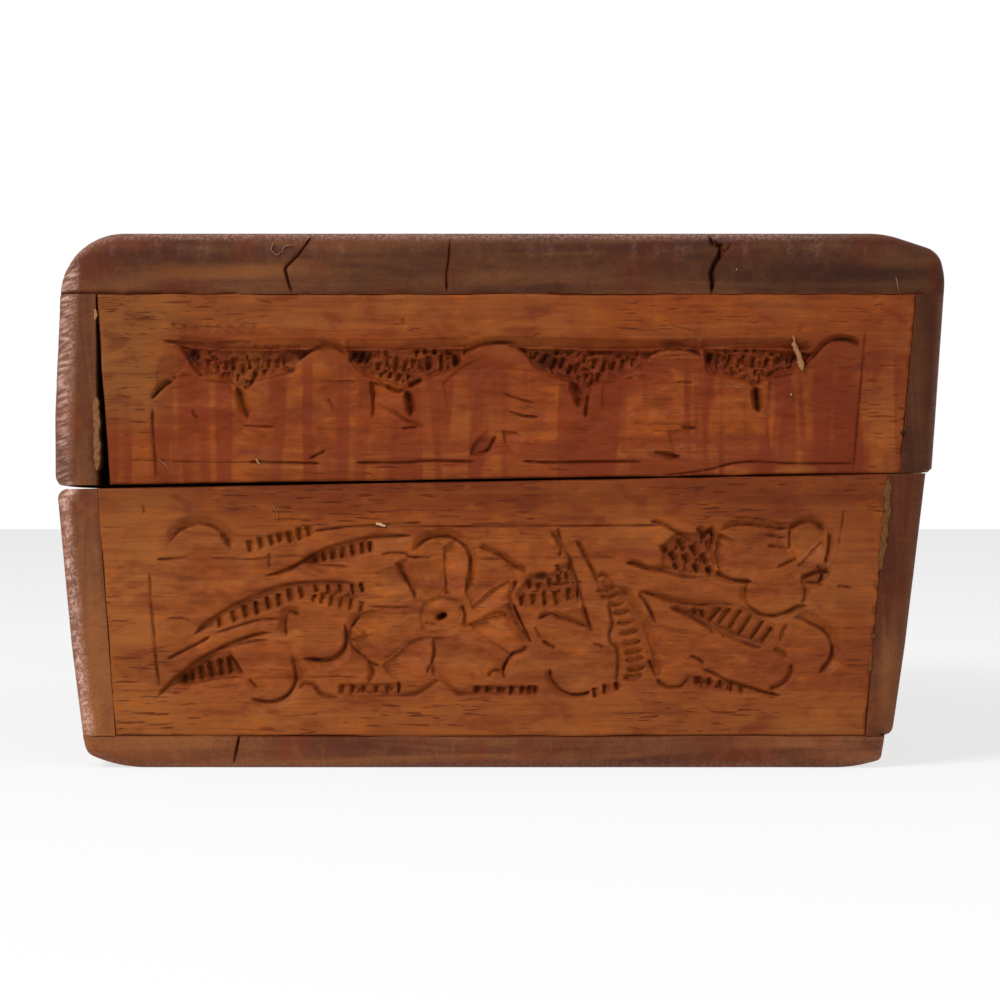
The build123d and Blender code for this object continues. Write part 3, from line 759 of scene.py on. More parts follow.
    # Tall blade with ripples
    line([(9.1, 27.6), (9.8, 26.6), (10.4, 25.4), (11, 24.3), (11.5, 23.3), (11.9, 22.2)], 0.9,
         0.55, 0.2, 0.14, 0.9)
    line([(11.7, 22.8), (12.4, 23.4), (13.3, 22.7)], 0.9, 0.55, 0, 0.2, 0.9)
    line([(13.1, 20.2), (13.4, 18.7), (13.6, 17.4), (13.3, 16.3), (13.4, 15.3), (14.2, 14.3),
          (14.3, 12.5), (14.1, 10.2)], 0.9, 0.5, 0.2, 0.08, 0.75)
    line([(14.4, 22.0), (15.8, 20), (16.8, 18.3), (17.7, 16.5), (18.4, 14.5), (18.8, 12.5),
          (19.3, 10.9)], 1.8, 0.75, 0.1, 0.1, 0.45, 0.7)
    line([(17.9, 13.2), (18.4, 12.2), (18.9, 11.0)], 0.6, 0.7, 0, 0.2, 0.85)
    ripples = ((12.7, 21.6), (13.3, 20.9), (14.2, 19.9), (14.7, 18.9), (15.3, 17.7), (15.5, 16.4),
               (15.9, 15.2), (16.1, 14.1), (16.3, 13.1), (16.4, 12.0), (16.1, 11.0))
    for y, z in ripples:
        line([(y - 1.3, z - 0.15), (y - 0.3, z - 0.35), (y + 0.7, z - 0.1), (y + 1.3, z + 0.35)],
             0.9, 0.45, 0.55, 0.2, 0.6, 0.32)
    line([(16.6, 21.2), (17.4, 20.3), (18.2, 18.9), (18.9, 17.4)], 0.8, 0.45, 0.2, 0.14, 0.8)
    # Leaves at the right
    line([(15, 24.8), (16.5, 24.6), (18, 24.0), (19.6, 23.9), (21.8, 23.3), (24.2, 23.0)], 1.0, 0.6,
         0.3, 0.12, 0.9, 0.5)
    line([(18, 29.9), (19.5, 29.5), (20.8, 28.8), (22.3, 27.9), (23.4, 27.0)], 0.8, 0.45, 0.2, 0.14,
         0.75)
    bars([(19.7, 26.4, 1.2), (20.8, 25.5, 1.6), (21.8, 26.9, 1.9), (22.4, 25.2, 1.4), (23.4, 26.2, 1.7),
          (23.6, 24.1, 1.3), (24.6, 25.2, 1.6), (25.2, 23.7, 1.3), (21.2, 24.3, 1.0)], 0.8, 0.6, 32, 0.8)
    bars([(24.3, 28.4, 1.7), (25.5, 28.4, 1.5)], 0.9, 0.6, 38, 0.9)
    bars([(24.7, 28.3, 1.6)], 0.8, 0.6, -38, 0.9)
    line([(16.5, 21.4), (18.5, 20.9), (20.3, 20.3), (22, 19.9), (24, 19.7), (26.6, 19.8),
          (29.5, 19.6)], 0.9, 0.5, 0.3, 0.1, 0.8)
    line([(20.4, 19.4), (22.8, 18.5), (24, 17.8), (25.5, 17), (27, 16.3), (28.6, 15.6),
          (30.2, 14.9), (31.8, 14.5)], 1.3, 0.6, 0.4, 0.08, 0.85, 0.55)
    notches = (((26.8, 19.4), (25.2, 17.5)), ((27.9, 19.3), (26.4, 17.2)),
               ((29.3, 19.2), (27.7, 16.6)), ((30.7, 18.7), (28.7, 15.8)),
               ((32.0, 17.9), (30.3, 15.4)), ((33.0, 17.0), (31.6, 15.0)))
    for (y0, z0), (y1, z1) in notches:
        line([(y0, z0), (y1, z1)], 0.8, 0.55, -0.3, 0.12, 0.75, 0.38)
    bars([(23.4, 18.9, 1.0), (24.4, 18.6, 1.2), (25.6, 16.7, 0.9), (27.0, 16.1, 0.9)], 0.7, 0.5, 20, 0.8)
    line([(33.0, 14.5), (34.0, 13.9), (34.9, 13.3)], 1.0, 0.4, 0, 0.2, 0.7)
    line([(26.3, 28.6), (28.3, 29.3), (30, 29.4), (32, 29.1), (34, 28.9), (35.2, 29.0)], 0.9, 0.45,
         0.4, 0.14, 0.7)
    line([(34.6, 28.9), (35.4, 29.1), (36.3, 29.6), (37.6, 29.7), (38.6, 29.2), (39.3, 28.5)], 1.1,
         0.65, 0.4, 0.16, 0.95, 0.5)
    line([(26.0, 23.9), (26.7, 23.3), (27.5, 22.9), (28.6, 22.6), (30.6, 22.5)], 1.2, 0.65, -0.4,
         0.14, 0.9, 0.5)
    line([(26.5, 28.7), (25.7, 27.4), (25.5, 25.8), (26.0, 24.0)], 0.8, 0.45, -0.3, 0.2, 0.55)
    line([(35.05, 29.0), (35.0, 27.5), (35.0, 26.3)], 0.7, 0.5, 0.2, 0.14, 0.85)
    line([(31.9, 28.2), (33.4, 27.9), (35.0, 27.7)], 0.5, 0.3, 0.3, 0.2, 0.5)
    line([(32.2, 26.9), (33.8, 26.6), (35.0, 26.3)], 0.6, 0.35, 0.3, 0.2, 0.7)
    line([(39.7, 28.6), (39.85, 27.2), (39.6, 25.8), (39.3, 24.5)], 0.9, 0.55, 0.3, 0.16, 0.75)
    line([(33.4, 24.2), (34.5, 24.7), (36.1, 25.4)], 0.7, 0.4, -0.3, 0.2, 0.55)
    line([(36.2, 22.9), (37.4, 23.4), (38.6, 23.8), (40.0, 23.6)], 0.8, 0.5, 0, 0.14, 0.85)
    line([(38.2, 24.6), (39.0, 23.5), (38.5, 22.1)], 0.6, 0.45, 0, 0.16, 0.8)
    line([(36.8, 22.4), (38.4, 22.3), (39.2, 21.9)], 0.5, 0.35, 0, 0.2, 0.7)
    line([(29.8, 22.4), (29.7, 21), (29.8, 19.9), (30.5, 19.2), (31.5, 18.6), (33, 18.4),
          (34.6, 18.8), (36, 19.5), (37.3, 19.6)], 1.2, 0.55, -0.5, 0.08, 0.8)
    line([(36.3, 22.9), (36.9, 21.8), (36.9, 20.6), (36.4, 19.8)], 0.9, 0.4, 0.4, 0.14, 0.55)
    line([(24.3, 12.1), (26, 11.3), (27.5, 10.5), (29, 10), (30.5, 9.6), (32, 9.1), (34.0, 8.7)],
         1.0, 0.55, -0.4, 0.1, 0.9)
    line([(35.3, 12.7), (35.2, 11.5), (34.6, 10.5), (33.6, 9.8), (32.4, 9.4)], 0.9, 0.5, -0.4, 0.12, 0.8)
    bars([(23.8, 10.6, 1.2), (25.2, 10.5, 1.1), (26.6, 10.2, 1.2), (27.9, 9.9, 1.5),
          (29.1, 9.6, 1.4)], 0.8, 0.5, 4, 0.8)
    line([(22.8, 13.6), (24, 13.1), (24.8, 12.4)], 0.6, 0.4, 0, 0.2, 0.75)
    line([(18.9, 10.9), (19.4, 10.2), (20.6, 9.7), (22, 9.9), (22.7, 10.8)], 0.7, 0.4, 0.3, 0.12, 0.75)
    line([(40.5, 22.0), (41.6, 21.9), (42.8, 21.7)], 0.5, 0.25, 0, 0.2, 0.8)
    # Scribed border and hairline checks
    line([(-42.4, 23.8), (-42.1, 20.0), (-41.8, 16.0), (-41.5, 12.5), (-41.1, 9.6)], 0.6, 0.3, 0,
         0.1, 0.6)
    line([(-43.2, 31.9), (-42.9, 30.6)], 0.4, 0.25, 0, 0.2, 0.6)
    line([(41.6, 31.4), (41.3, 29.0), (41.0, 27.0)], 0.4, 0.2, 0, 0.1, 0.45)
    line([(-41.6, 25.2), (-39.5, 25.3), (-37.6, 25.4)], 0.45, 0.25, 0, 0.15, 0.85)
    line([(-22.8, 28.6), (-19.0, 29.1), (-14.5, 29.4), (-9.2, 29.7)], 0.5, 0.25, -0.3, 0.1, 0.75)
    line([(-17.0, 29.2), (-2.0, 29.2), (7.0, 29.25), (17.0, 29.3), (20.4, 29.4)], 0.35, 0.2, 0,
         0.03, 0.75, 0.3)
    line([(28.0, 30.3), (31.0, 30.1), (34.0, 29.5), (35.5, 29.6)], 0.4, 0.2, 0, 0.1, 0.6)
    line([(-36.0, 25.4), (-30.0, 25.2), (-27.6, 25.5), (-23.6, 25.6)], 0.3, 0.15, 0, 0.1, 0.45)
    line([(-2.8, 25.2), (4.0, 25.4), (14.4, 25.5)], 0.3, 0.15, 0, 0.1, 0.5)
    line([(-30.0, 10.9), (-24.4, 10.9), (-19.0, 11.0), (-16.6, 10.9)], 0.3, 0.15, 0, 0.1, 0.5)
    line([(-40.6, 18.0), (-38.6, 18.1), (-37.0, 17.6)], 0.3, 0.15, 0, 0.2, 0.5)
    y, z = relief.places.T
    pared(relief, ease(y, -42, -37) * ease(y, 42, 37) * ease(z, 8, 10.5) * ease(z, 29.6, 27.0), 131)


def carve_lid_end(relief):
    """Row of lobed scallops hung from a line, the ground between them stippled."""
    line, bars, facet, lower, dish = relief.line, relief.bars, relief.facet, relief.lower, relief.dish
    # Ground between the line and the lobes, deepest at the left of each hollow, its floor painted darker
    # as soiling and painted shade
    hollows = [
        [(-39.2, 51.2), (-31.4, 50.6), (-20.5, 50.7), (-22.0, 50.4), (-24.2, 49.2), (-25.2, 48.1),
         (-28.0, 47.3), (-30.2, 46.3), (-31.5, 46.0), (-33.2, 46.9), (-35.6, 47.4), (-36.6, 48.0),
         (-37.9, 50.3)],
        [(-19.0, 50.6), (-12.1, 50.8), (-3.2, 50.9), (-3.9, 50.2), (-4.8, 48.7), (-6.2, 47.9),
         (-8.8, 47.1), (-9.9, 46.2), (-11.2, 45.6), (-13.0, 46.2), (-14.6, 46.9), (-16.6, 47.7),
         (-17.9, 49.3)],
        [(1.2, 51.0), (12.1, 50.7), (18.9, 50.4), (18.3, 49.6), (17.1, 48.0), (15.8, 47.3),
         (13.0, 46.9), (11.2, 46.0), (10.3, 44.9), (9.4, 44.9), (8.4, 46.6), (6.2, 47.3),
         (4.2, 48.5), (2.8, 49.9)],
        [(24.2, 50.9), (31.4, 50.8), (38.0, 50.2), (36.9, 48.7), (35.4, 48.1), (33.4, 47.6),
         (32.2, 46.6), (30.8, 45.9), (30.0, 46.3), (28.4, 47.1), (26.0, 47.4), (25.0, 48.4)],
    ]
    for k, hollow in enumerate(hollows):
        lower(hollow, 0.75, 0.45, 0.26, 0.20)
        relief.stipple(hollow, 26, 151 + k)
    y, z = relief.places.T
    band = ease(z, 49.6, 50.9) * ease(z, 54.6, 52.4) * ease(np.abs(y), 43, 36)
    relief.soil = np.maximum(relief.soil, 0.30 * band * ease(waves(y, z, 3.4, 1.6, 121), -0.7, 0.6))
    lobes = ease(z, 48.4, 46.4) * ease(z, 40.6, 43.5) * ease(np.abs(y), 42, 36)
    relief.soil = np.maximum(relief.soil, 0.12 * lobes * ease(waves(y, z, 5.2, 3.0, 122), -0.2, 0.6))
    line([(-39.5, 51.2), (-36.0, 50.9), (-31.4, 50.6), (-25.0, 50.8), (-18.7, 50.7)], 1.5, 0.65,
         0.65, 0.06, 0.50, 0.75)
    line([(-18.7, 50.7), (-11.0, 50.7), (-3.6, 51.0)], 1.5, 0.65, 0.65, 0.02, 0.55, 0.75)
    line([(1.0, 51.0), (6.0, 50.9), (12.1, 50.7), (18.4, 50.7), (24.4, 50.8)], 1.5, 0.65, 0.65,
         0.03, 0.55, 0.75)
    line([(24.0, 50.9), (31.0, 50.8), (37.6, 50.7)], 1.5, 0.65, 0.65, 0.06, 0.50, 0.75)
    line([(-40.9, 51.7), (-39.4, 51.5), (-36.0, 51.4), (-30.0, 51.5)], 0.5, 0.35, 0, 0.1, 0.8)
    line([(-34.6, 51.1), (-32.2, 50.8), (-30.6, 50.9)], 0.4, 0.25, 0, 0.2, 0.7)
    line([(-22.0, 51.6), (-19.8, 51.2), (-18.4, 50.7)], 0.5, 0.3, 0, 0.2, 0.8)
    # Dark patches painted into the hollows, most at the left of each, are painted shade where a wall
    # keeps the light off
    for middle, radius, stretch, soil in (
        ((-37.0, 49.9), 1.4, 0.9, 0.95), ((-17.0, 49.7), 1.3, 1.5, 0.95), ((-5.4, 49.2), 1.2, 1.0, 0.7),
        ((5.8, 49.2), 1.7, 1.5, 0.85), ((25.4, 49.7), 0.9, 1.2, 0.85), ((35.4, 49.6), 1.0, 1.4, 0.6),
        ((-24.6, 50.2), 0.9, 2.0, 0.55), ((-8.8, 48.8), 1.1, 0.9, 0.6), ((21.0, 51.2), 0.8, 3.0, 0.6),
    ):
        dish(middle, radius, 0.25, stretch, soil)
    # Stippling
    bars([(-35.4, 48.8, 1.4), (-34.3, 48.9, 1.6), (-33.3, 48.7, 1.3), (-32.4, 48.9, 1.8),
          (-31.3, 48.3, 1.4), (-30.4, 48.8, 1.3), (-29.3, 48.9, 1.6), (-28.1, 48.9, 1.3),
          (-27.1, 48.9, 1.2), (-26.3, 49.4, 1.4), (-33.0, 47.6, 0.8), (-31.8, 47.2, 0.9),
          (-29.8, 47.6, 0.8), (-28.6, 47.9, 0.7)], 0.65, 0.45, 6, 0.6)
    bars([(-29.6, 50.9, 0.6), (-28.3, 50.9, 0.6), (-26.9, 50.9, 0.8), (-25.6, 50.8, 0.9),
          (-24.3, 50.8, 0.9), (-23.0, 50.8, 0.9), (-31.8, 50.7, 0.6)], 0.7, 0.4, 4, 0.85)
    bars([(-17.9, 49.8, 1.7), (-16.9, 49.7, 1.8), (-16.0, 49.6, 1.7)], 0.6, 0.55, -18, 0.95)
    bars([(-14.8, 48.6, 1.2), (-13.7, 49.2, 1.6), (-12.7, 48.8, 1.9), (-11.6, 48.6, 1.7),
          (-10.6, 48.9, 1.3), (-12.3, 47.3, 0.9), (-13.4, 47.5, 0.8), (-11.2, 47.2, 0.8)], 0.65,
          0.45, -6, 0.6)
    bars([(-8.8, 49.0, 1.9), (-7.2, 49.1, 2.1), (-5.5, 49.3, 1.9), (-10.2, 50.5, 0.7), (-9.2, 50.4, 0.7),
          (-8.0, 50.4, 0.7), (-6.4, 50.3, 0.7)], 0.85, 0.6, 4, 0.9)
    bars([(4.2, 49.9, 1.3), (5.3, 49.6, 1.5), (6.4, 48.9, 1.7), (7.4, 49.0, 1.6), (8.3, 48.2, 1.4),
          (6.8, 50.4, 0.9)], 0.7, 0.55, -22, 0.9)
    bars([(9.3, 48.4, 1.5), (10.2, 49.5, 1.2), (11.3, 48.9, 1.4), (12.5, 48.6, 1.5),
          (13.6, 48.7, 1.3), (14.8, 48.9, 1.3), (16.0, 49.1, 1.2), (10.4, 47.2, 1.2),
          (11.8, 47.4, 0.8)], 0.65, 0.45, -10, 0.6)
    line([(9.4, 47.4), (10.0, 48.2), (10.9, 48.0), (11.4, 47.0)], 0.5, 0.35, 0, 0.15, 0.7)
    line([(12.4, 49.4), (13.2, 49.0), (13.4, 48.1)], 0.5, 0.3, 0, 0.15, 0.6)
    line([(10.2, 50.4), (11.6, 50.2), (13.8, 50.5)], 0.8, 0.35, 0, 0.15, 0.85)
    bars([(25.1, 49.6, 1.5), (26.3, 49.5, 1.5), (27.7, 49.4, 1.6), (28.9, 49.0, 1.3), (29.4, 49.4, 1.2),
          (30.6, 49.1, 1.5), (32.2, 49.0, 1.4), (33.6, 49.3, 1.0)], 0.75, 0.5, -8, 0.75)
    relief.row([(25.6, 50.5), (30.0, 50.6), (34.8, 50.6)], 8, 0.6, 0.6, 0.35, 0, 0.8)
    # Drops where two lobes meet
    line([(-32.0, 46.5), (-31.5, 45.2), (-31.1, 43.9), (-30.6, 42.6), (-30.4, 41.9)], 1.5, 1.1, 0,
         0.35, 1.0, 0.62)
    line([(-31.0, 45.9), (-30.3, 46.4), (-29.9, 47.0)], 0.9, 0.6, 0, 0.2, 0.9, 0.5)
    line([(-11.5, 46.0), (-11.0, 44.6), (-10.8, 43.4), (-10.9, 42.2)], 1.4, 1.1, 0, 0.3, 1.0, 0.6)
    line([(-13.9, 46.5), (-13.0, 45.7), (-12.0, 45.6), (-11.2, 46.0)], 0.8, 0.5, 0, 0.2, 0.85, 0.45)
    line([(-11.2, 46.0), (-10.2, 46.6), (-9.2, 46.9)], 0.8, 0.5, 0, 0.2, 0.8, 0.45)
    line([(8.3, 46.9), (9.0, 45.9), (9.5, 44.7), (9.6, 43.2)], 1.5, 1.1, 0, 0.3, 1.0, 0.62)
    line([(11.3, 47.3), (10.9, 46.1), (10.6, 44.6), (10.4, 43.2), (10.4, 42.1)], 0.6, 0.5, 0, 0.14, 0.8)
    line([(30.9, 46.4), (31.0, 45.2), (31.15, 44.2), (31.3, 42.8)], 1.5, 1.2, 0, 0.25, 1.0, 0.62)
    line([(30.2, 46.3), (31.0, 46.4), (32.0, 46.6)], 1.1, 0.4, 0, 0.2, 0.6, 0.6)
    # Crests of the lobes, each with a dark side towards the hollow
    for points in (
        [(-24.6, 49.0), (-23.8, 49.9), (-22.6, 50.6), (-21.0, 51.0), (-19.6, 50.6), (-18.4, 49.8)],
        [(-4.4, 49.8), (-3.2, 50.7), (-1.8, 51.2), (0.2, 51.4), (2.0, 51.1), (3.4, 49.9)],
        [(18.2, 49.8), (19.2, 50.4), (20.6, 50.7), (22.2, 50.6), (23.6, 50.3), (24.6, 49.6)],
    ):
        line(points, 1.2, 0.7, 0.5, 0.16, 0.85, 0.5)
    line([(36.2, 48.2), (37.2, 49.0), (38.2, 50.0), (39.1, 51.0), (40.3, 51.7), (41.6, 51.8),
          (43.7, 50.9)], 0.9, 0.55, 0.5, 0.12, 0.7)
    line([(40.0, 51.7), (41.4, 51.8), (42.6, 51.6), (43.6, 51.0)], 0.9, 0.6, 0.3, 0.16, 0.95, 0.5)
    line([(-38.8, 51.2), (-38.0, 50.2), (-37.3, 49.0), (-36.4, 47.8), (-35.8, 47.3)], 1.1, 0.7, 0.4,
         0.14, 0.85, 0.5)
    for points in (
        [(-36.2, 47.6), (-34.4, 47.1), (-32.9, 46.9), (-31.8, 46.2)],
        [(-29.8, 46.7), (-28.4, 47.1), (-26.6, 47.5), (-25.4, 47.9), (-24.6, 48.9)],
        [(-18.4, 49.8), (-17.4, 48.4), (-16.4, 47.6), (-15.0, 47.0), (-13.4, 46.3)],
        [(-9.4, 46.7), (-8.0, 47.5), (-6.4, 47.9), (-5.2, 48.4), (-4.5, 49.6)],
        [(3.3, 49.6), (4.4, 48.4), (5.8, 47.5), (7.6, 47.0), (8.4, 46.6)],
        [(10.9, 45.6), (12.0, 46.6), (13.6, 47.0), (15.8, 47.2), (17.0, 47.9), (18.0, 49.5)],
        [(24.8, 49.4), (25.1, 48.0), (26.4, 47.4), (28.4, 47.1), (29.8, 46.4)],
        [(32.0, 46.7), (33.0, 47.5), (34.6, 48.0), (36.2, 48.3)],
    ):
        line(points, 0.7, 0.35, 0.5, 0.14, 0.42, 0.4)
    dish((-25.4, 48.1), 0.6, 0.3, 1.7, 0.85)
    line([(-42.2, 44.5), (-41.4, 45.4), (-40.6, 46.2), (-39.6, 46.8)], 0.9, 0.5, 0.4, 0.16, 0.85)
    line([(-39.6, 46.8), (-38.4, 47.3), (-37.0, 47.2)], 0.7, 0.3, 0.4, 0.2, 0.3)
    # Flats on the lobes, some painted paler as a painted highlight and some darker as painted shade
    facet([(-41.6, 45.2), (-39.4, 46.7), (-37.0, 50.0), (-40.2, 51.4), (-41.4, 49.0)],
          (-41.2, 50.0), (-38.6, 47.6), 0.4, -0.05)
    facet([(-38.0, 47.2), (-33.0, 46.7), (-32.2, 45.0), (-33.6, 43.6), (-37.0, 44.4)],
          (-36.4, 44.4), (-33.4, 46.4), 0.30)
    facet([(-15.8, 46.8), (-13.2, 46.2), (-11.6, 45.2), (-11.6, 42.8), (-14.8, 44.0), (-15.4, 42.0)],
          (-12.2, 43.6), (-15.2, 45.6), 0.5, 0.10)
    facet([(-21.8, 46.9), (-17.6, 46.9), (-17.2, 44.0), (-20.8, 43.4)], (-21.2, 44.0),
          (-17.8, 46.2), 0.30)
    facet([(-4.6, 48.6), (-2.0, 49.8), (-2.4, 45.0), (-6.4, 43.4), (-7.0, 46.6)], (-2.8, 45.4),
          (-6.4, 47.2), 0.25)
    facet([(12.4, 46.6), (17.6, 47.6), (18.6, 44.6), (15.0, 42.2), (12.2, 43.6)], (17.6, 43.6),
          (13.2, 46.4), 0.25)
    facet([(-3.6, 37.8), (-1.2, 38.2), (-0.2, 40.6), (-1.4, 41.2), (-3.4, 39.0)], (-0.8, 41.0),
          (-2.2, 38.0), 0.5, -0.15)
    facet([(0.2, 40.8), (0.6, 39.2), (2.0, 37.7), (3.0, 39.8), (2.0, 40.6)], (2.6, 38.6),
          (0.8, 40.2), 0.45, 0.10)
    facet([(18.2, 37.6), (20.2, 38.6), (22.0, 37.6), (20.6, 37.2)], (20.0, 38.6), (20.6, 37.4), 0.4,
          -0.15)
    facet([(20.2, 40.8), (24.0, 41.0), (24.2, 38.2), (21.0, 38.0)], (23.6, 38.6), (21.0, 40.2), 0.3)
    facet([(32.6, 47.2), (35.6, 47.8), (35.0, 44.0), (32.2, 43.0)], (34.6, 44.0), (32.6, 46.4), 0.25)
    line([(-3.5, 37.9), (-2.3, 38.0), (-1.4, 38.5), (-0.4, 40.4)], 0.7, 0.4, 0, 0.2, 0.7)
    line([(18.4, 38.2), (19.6, 38.0), (20.6, 37.7), (21.8, 37.4)], 0.8, 0.4, 0, 0.2, 0.75)
    line([(-23.2, 37.3), (-22.0, 37.9), (-21.0, 38.4)], 0.5, 0.35, 0, 0.2, 0.75)
    line([(-14.7, 43.9), (-12.6, 42.8), (-11.2, 41.9), (-8.8, 41.1)], 0.6, 0.3, 0.4, 0.14, 0.5)
    line([(-15.5, 46.8), (-15.3, 44.6), (-15.4, 41.8)], 0.6, 0.25, -0.4, 0.2, 0.4)
    line([(-37.2, 43.4), (-36.9, 42.6), (-36.4, 42.2)], 0.5, 0.3, 0, 0.2, 0.6)
    line([(-31.4, 41.4), (-29.6, 41.3), (-27.0, 41.2)], 0.5, 0.25, -0.3, 0.2, 0.4)
    line([(-20.9, 44.8), (-20.4, 44.0), (-20.0, 43.2)], 0.5, 0.3, 0, 0.2, 0.6)
    line([(-12.0, 41.0), (-11.0, 41.1), (-9.8, 41.2)], 0.5, 0.3, 0, 0.2, 0.7)
    line([(0.2, 45.3), (2.2, 44.6), (4.4, 44.0)], 0.5, 0.3, 0, 0.2, 0.65)
    line([(0.8, 43.2), (2.6, 42.6), (4.8, 42.4)], 0.4, 0.3, 0, 0.2, 0.75)
    line([(21.8, 41.3), (22.8, 41.1), (23.8, 41.1)], 0.5, 0.3, 0, 0.2, 0.8)
    line([(21.2, 46.7), (22.4, 46.6), (23.6, 46.5)], 0.4, 0.25, 0, 0.2, 0.5)
    # Small nicks above the line
    for k, nick in enumerate((-39.6, -38.3, -36.9, -35.4, -34.1, -32.8, -31.2, -29.8)):
        line([(nick, 53.9 - 0.15 * (k % 3)), (nick + 0.7, 52.5)], 0.8, 0.22, -0.4, 0.3, 0.28)
    line([(-11.8, 54.4), (-11.5, 53.4)], 0.6, 0.25, 0, 0.2, 0.55)
    line([(4.0, 52.4), (5.0, 52.2)], 0.6, 0.2, 0, 0.2, 0.4)
    line([(20.0, 53.6), (22.0, 53.1), (23.8, 52.7)], 0.4, 0.15, 0, 0.2, 0.2)
    # Scribed border and hairline checks
    line([(-42.0, 43.6), (-41.9, 40.0), (-41.6, 37.0), (-41.4, 34.6)], 0.5, 0.3, 0, 0.1, 0.65)
    line([(44.2, 53.2), (44.0, 49.8), (43.6, 46.0), (43.2, 41.4), (42.9, 37.0), (42.7, 35.6)], 0.5,
         0.25, 0, 0.1, 0.45)
    line([(-44.6, 37.2), (-38.0, 37.0), (-30.0, 36.95)], 0.3, 0.15, 0, 0.05, 0.45)
    line([(-30.6, 37.0), (-26.0, 36.9), (-21.6, 36.8)], 0.45, 0.3, 0, 0.1, 0.85)
    line([(-17.6, 36.9), (-12.0, 36.9), (-8.6, 37.1), (-2.6, 37.0)], 0.5, 0.35, 0, 0.08, 0.9)
    line([(2.4, 37.1), (6.0, 36.9), (11.0, 37.0), (17.4, 37.0)], 0.5, 0.35, 0, 0.08, 0.9)
    line([(19.0, 35.2), (25.0, 36.0), (27.6, 36.7), (30.4, 37.0), (35.0, 36.8), (43.2, 36.8)], 0.4,
         0.25, 0, 0.08, 0.75)
    line([(30.0, 35.2), (36.0, 35.4), (44.6, 35.4)], 0.4, 0.2, 0, 0.08, 0.8)
    pared(relief, ease(y, -42, -37) * ease(y, 44, 38) * ease(z, 36.8, 39.5) * ease(z, 51.5, 48.0), 141)


def carve_flower(relief, middle, radius, petals):
    """Open flower seen from above, each petal cut with one flat and one groove."""
    middle = np.array(middle, float)

    def spot(reach, turn):
        return middle + radius * reach * np.array([math.cos(turn), math.sin(turn)])

    step = 2 * math.pi / petals
    for k in range(petals):
        turn = k * step + 0.2
        edge = [spot(0.34, turn - 0.50 * step), spot(0.74, turn - 0.46 * step),
                spot(1.0, turn - 0.14 * step), spot(0.98, turn + 0.16 * step),
                spot(0.72, turn + 0.46 * step), spot(0.34, turn + 0.50 * step)]
        # Each petal's flat is painted a little paler, a painted highlight
        relief.facet([spot(0.3, turn), *edge[3:][::-1][:2], edge[3], spot(0.9, turn)],
                     spot(0.6, turn + 0.4 * step), spot(0.6, turn), 0.8, 0.06)
        relief.line(edge, 1.8, 0.9, -0.4, 0.06, 0.8, 0.7)
        relief.line([spot(0.36, turn), spot(0.88, turn)], 1.2, 0.5, 0.3, 0.2, 0.6, 0.5)
    relief.dish(middle, radius * 0.36, 0.5)
    rim = [spot(0.30, t) for t in np.linspace(0, 2 * math.pi, 25)]
    relief.line(rim, 1.2, 0.7, 0.3, 0.0001, 0.75, 0.6, False)
    relief.line([middle, middle + (0.1, 0)], 1.8, 2.0, 0, 0.0001, 1.0, 0.9)


def carve_leaf(relief, spine, count, tall, side=1):
    """Notched leaf that runs along a spine to its tip, its notches on one side."""
    path = Outline(smooth_path(spine))
    shares = np.linspace(0, 1, 15)
    middle = path.share(shares)
    run = np.gradient(middle, axis=0)
    across = side * np.stack([-run[:, 1], run[:, 0]], -1) / np.linalg.norm(run, axis=1)[:, None]
    breadth = (tall * 1.25 * np.sin(np.pi * shares ** 0.8))[:, None]
    outer = middle + across * breadth
    relief.lower([*outer, *middle[::-1]], 0.45, 0.9, 0.2)
    relief.line(outer, 1.7, 0.8, 0.4 * side, 0.1, 0.75, 0.65, False)
    relief.line(middle, 1.4, 0.6, -0.4 * side, 0.1, 0.65, 0.55, False)
    for k in range(count):
        share = 0.12 + 0.80 * (k + 0.5) / count
        foot = path.share(share)
        across_here = np.array([np.interp(share, shares, across[:, 0]),
                                np.interp(share, shares, across[:, 1])])
        height = tall * 1.05 * math.sin(math.pi * share ** 0.8)
        relief.line([foot + across_here * height * 0.15, foot + across_here * height], 1.1, 0.8,
                    -0.3, 0.1, 0.8, 0.55)


def carve_scallops(relief, left, right, line_height, count, drop):
    """Row of lobes hung from a line."""
    pitch = (right - left) / count
    relief.line([(left, line_height), (right, line_height)], 1.3, 0.7, 0.6, 0.03, 0.65, 0.6)
    for k in range(count):
        start = left + k * pitch
        top = line_height - 0.6
        hollow = [(start - pitch * 0.30, top), (start + pitch * 0.30, top),
                  (start + pitch * 0.24, top - drop * 0.30),
                  (start + pitch * 0.08, top - drop * 0.45), (start, top - drop * 0.62),
                  (start - pitch * 0.08, top - drop * 0.45), (start - pitch * 0.24, top - drop * 0.30)]
        if k:
            relief.lower(hollow, 0.8, 0.5, 0.35, 0.15)
            relief.row([(start - pitch * 0.20, top - drop * 0.18),
                        (start + pitch * 0.20, top - drop * 0.18)], 6, drop * 0.22, 0.9, 0.55, 4, 0.8)
            relief.line([(start, top - drop * 0.5), (start + 0.2, top - drop * 1.05)], 1.8, 1.1, 0,
                        0.3, 0.95, 0.7)
        arc = [(start + pitch * 0.14, top - drop * 0.42), (start + pitch * 0.26, top - drop * 0.28),
               (start + pitch * 0.36, top - drop * 0.02), (start + pitch * 0.5, top + 0.5),
               (start + pitch * 0.64, top - drop * 0.02), (start + pitch * 0.74, top - drop * 0.28),
               (start + pitch * 0.86, top - drop * 0.42)]
        relief.line(arc, 1.4, 0.8, 0.5, 0.06, 0.75, 0.6)


def carve_border(relief, left, right, low_side, high_side):
    """Scribed line round a field, its ends run past each other."""
    for points in ([(left, low_side - 1.2), (left, high_side + 0.8)],
                   [(right, low_side - 0.8), (right, high_side + 1.4)],
                   [(left - 1.0, low_side), (right + 1.3, low_side)],
                   [(left - 1.4, high_side), (right + 0.7, high_side)]):
        relief.line(points, 1.0, 0.45, 0, 0.02, 0.6, 0.5)


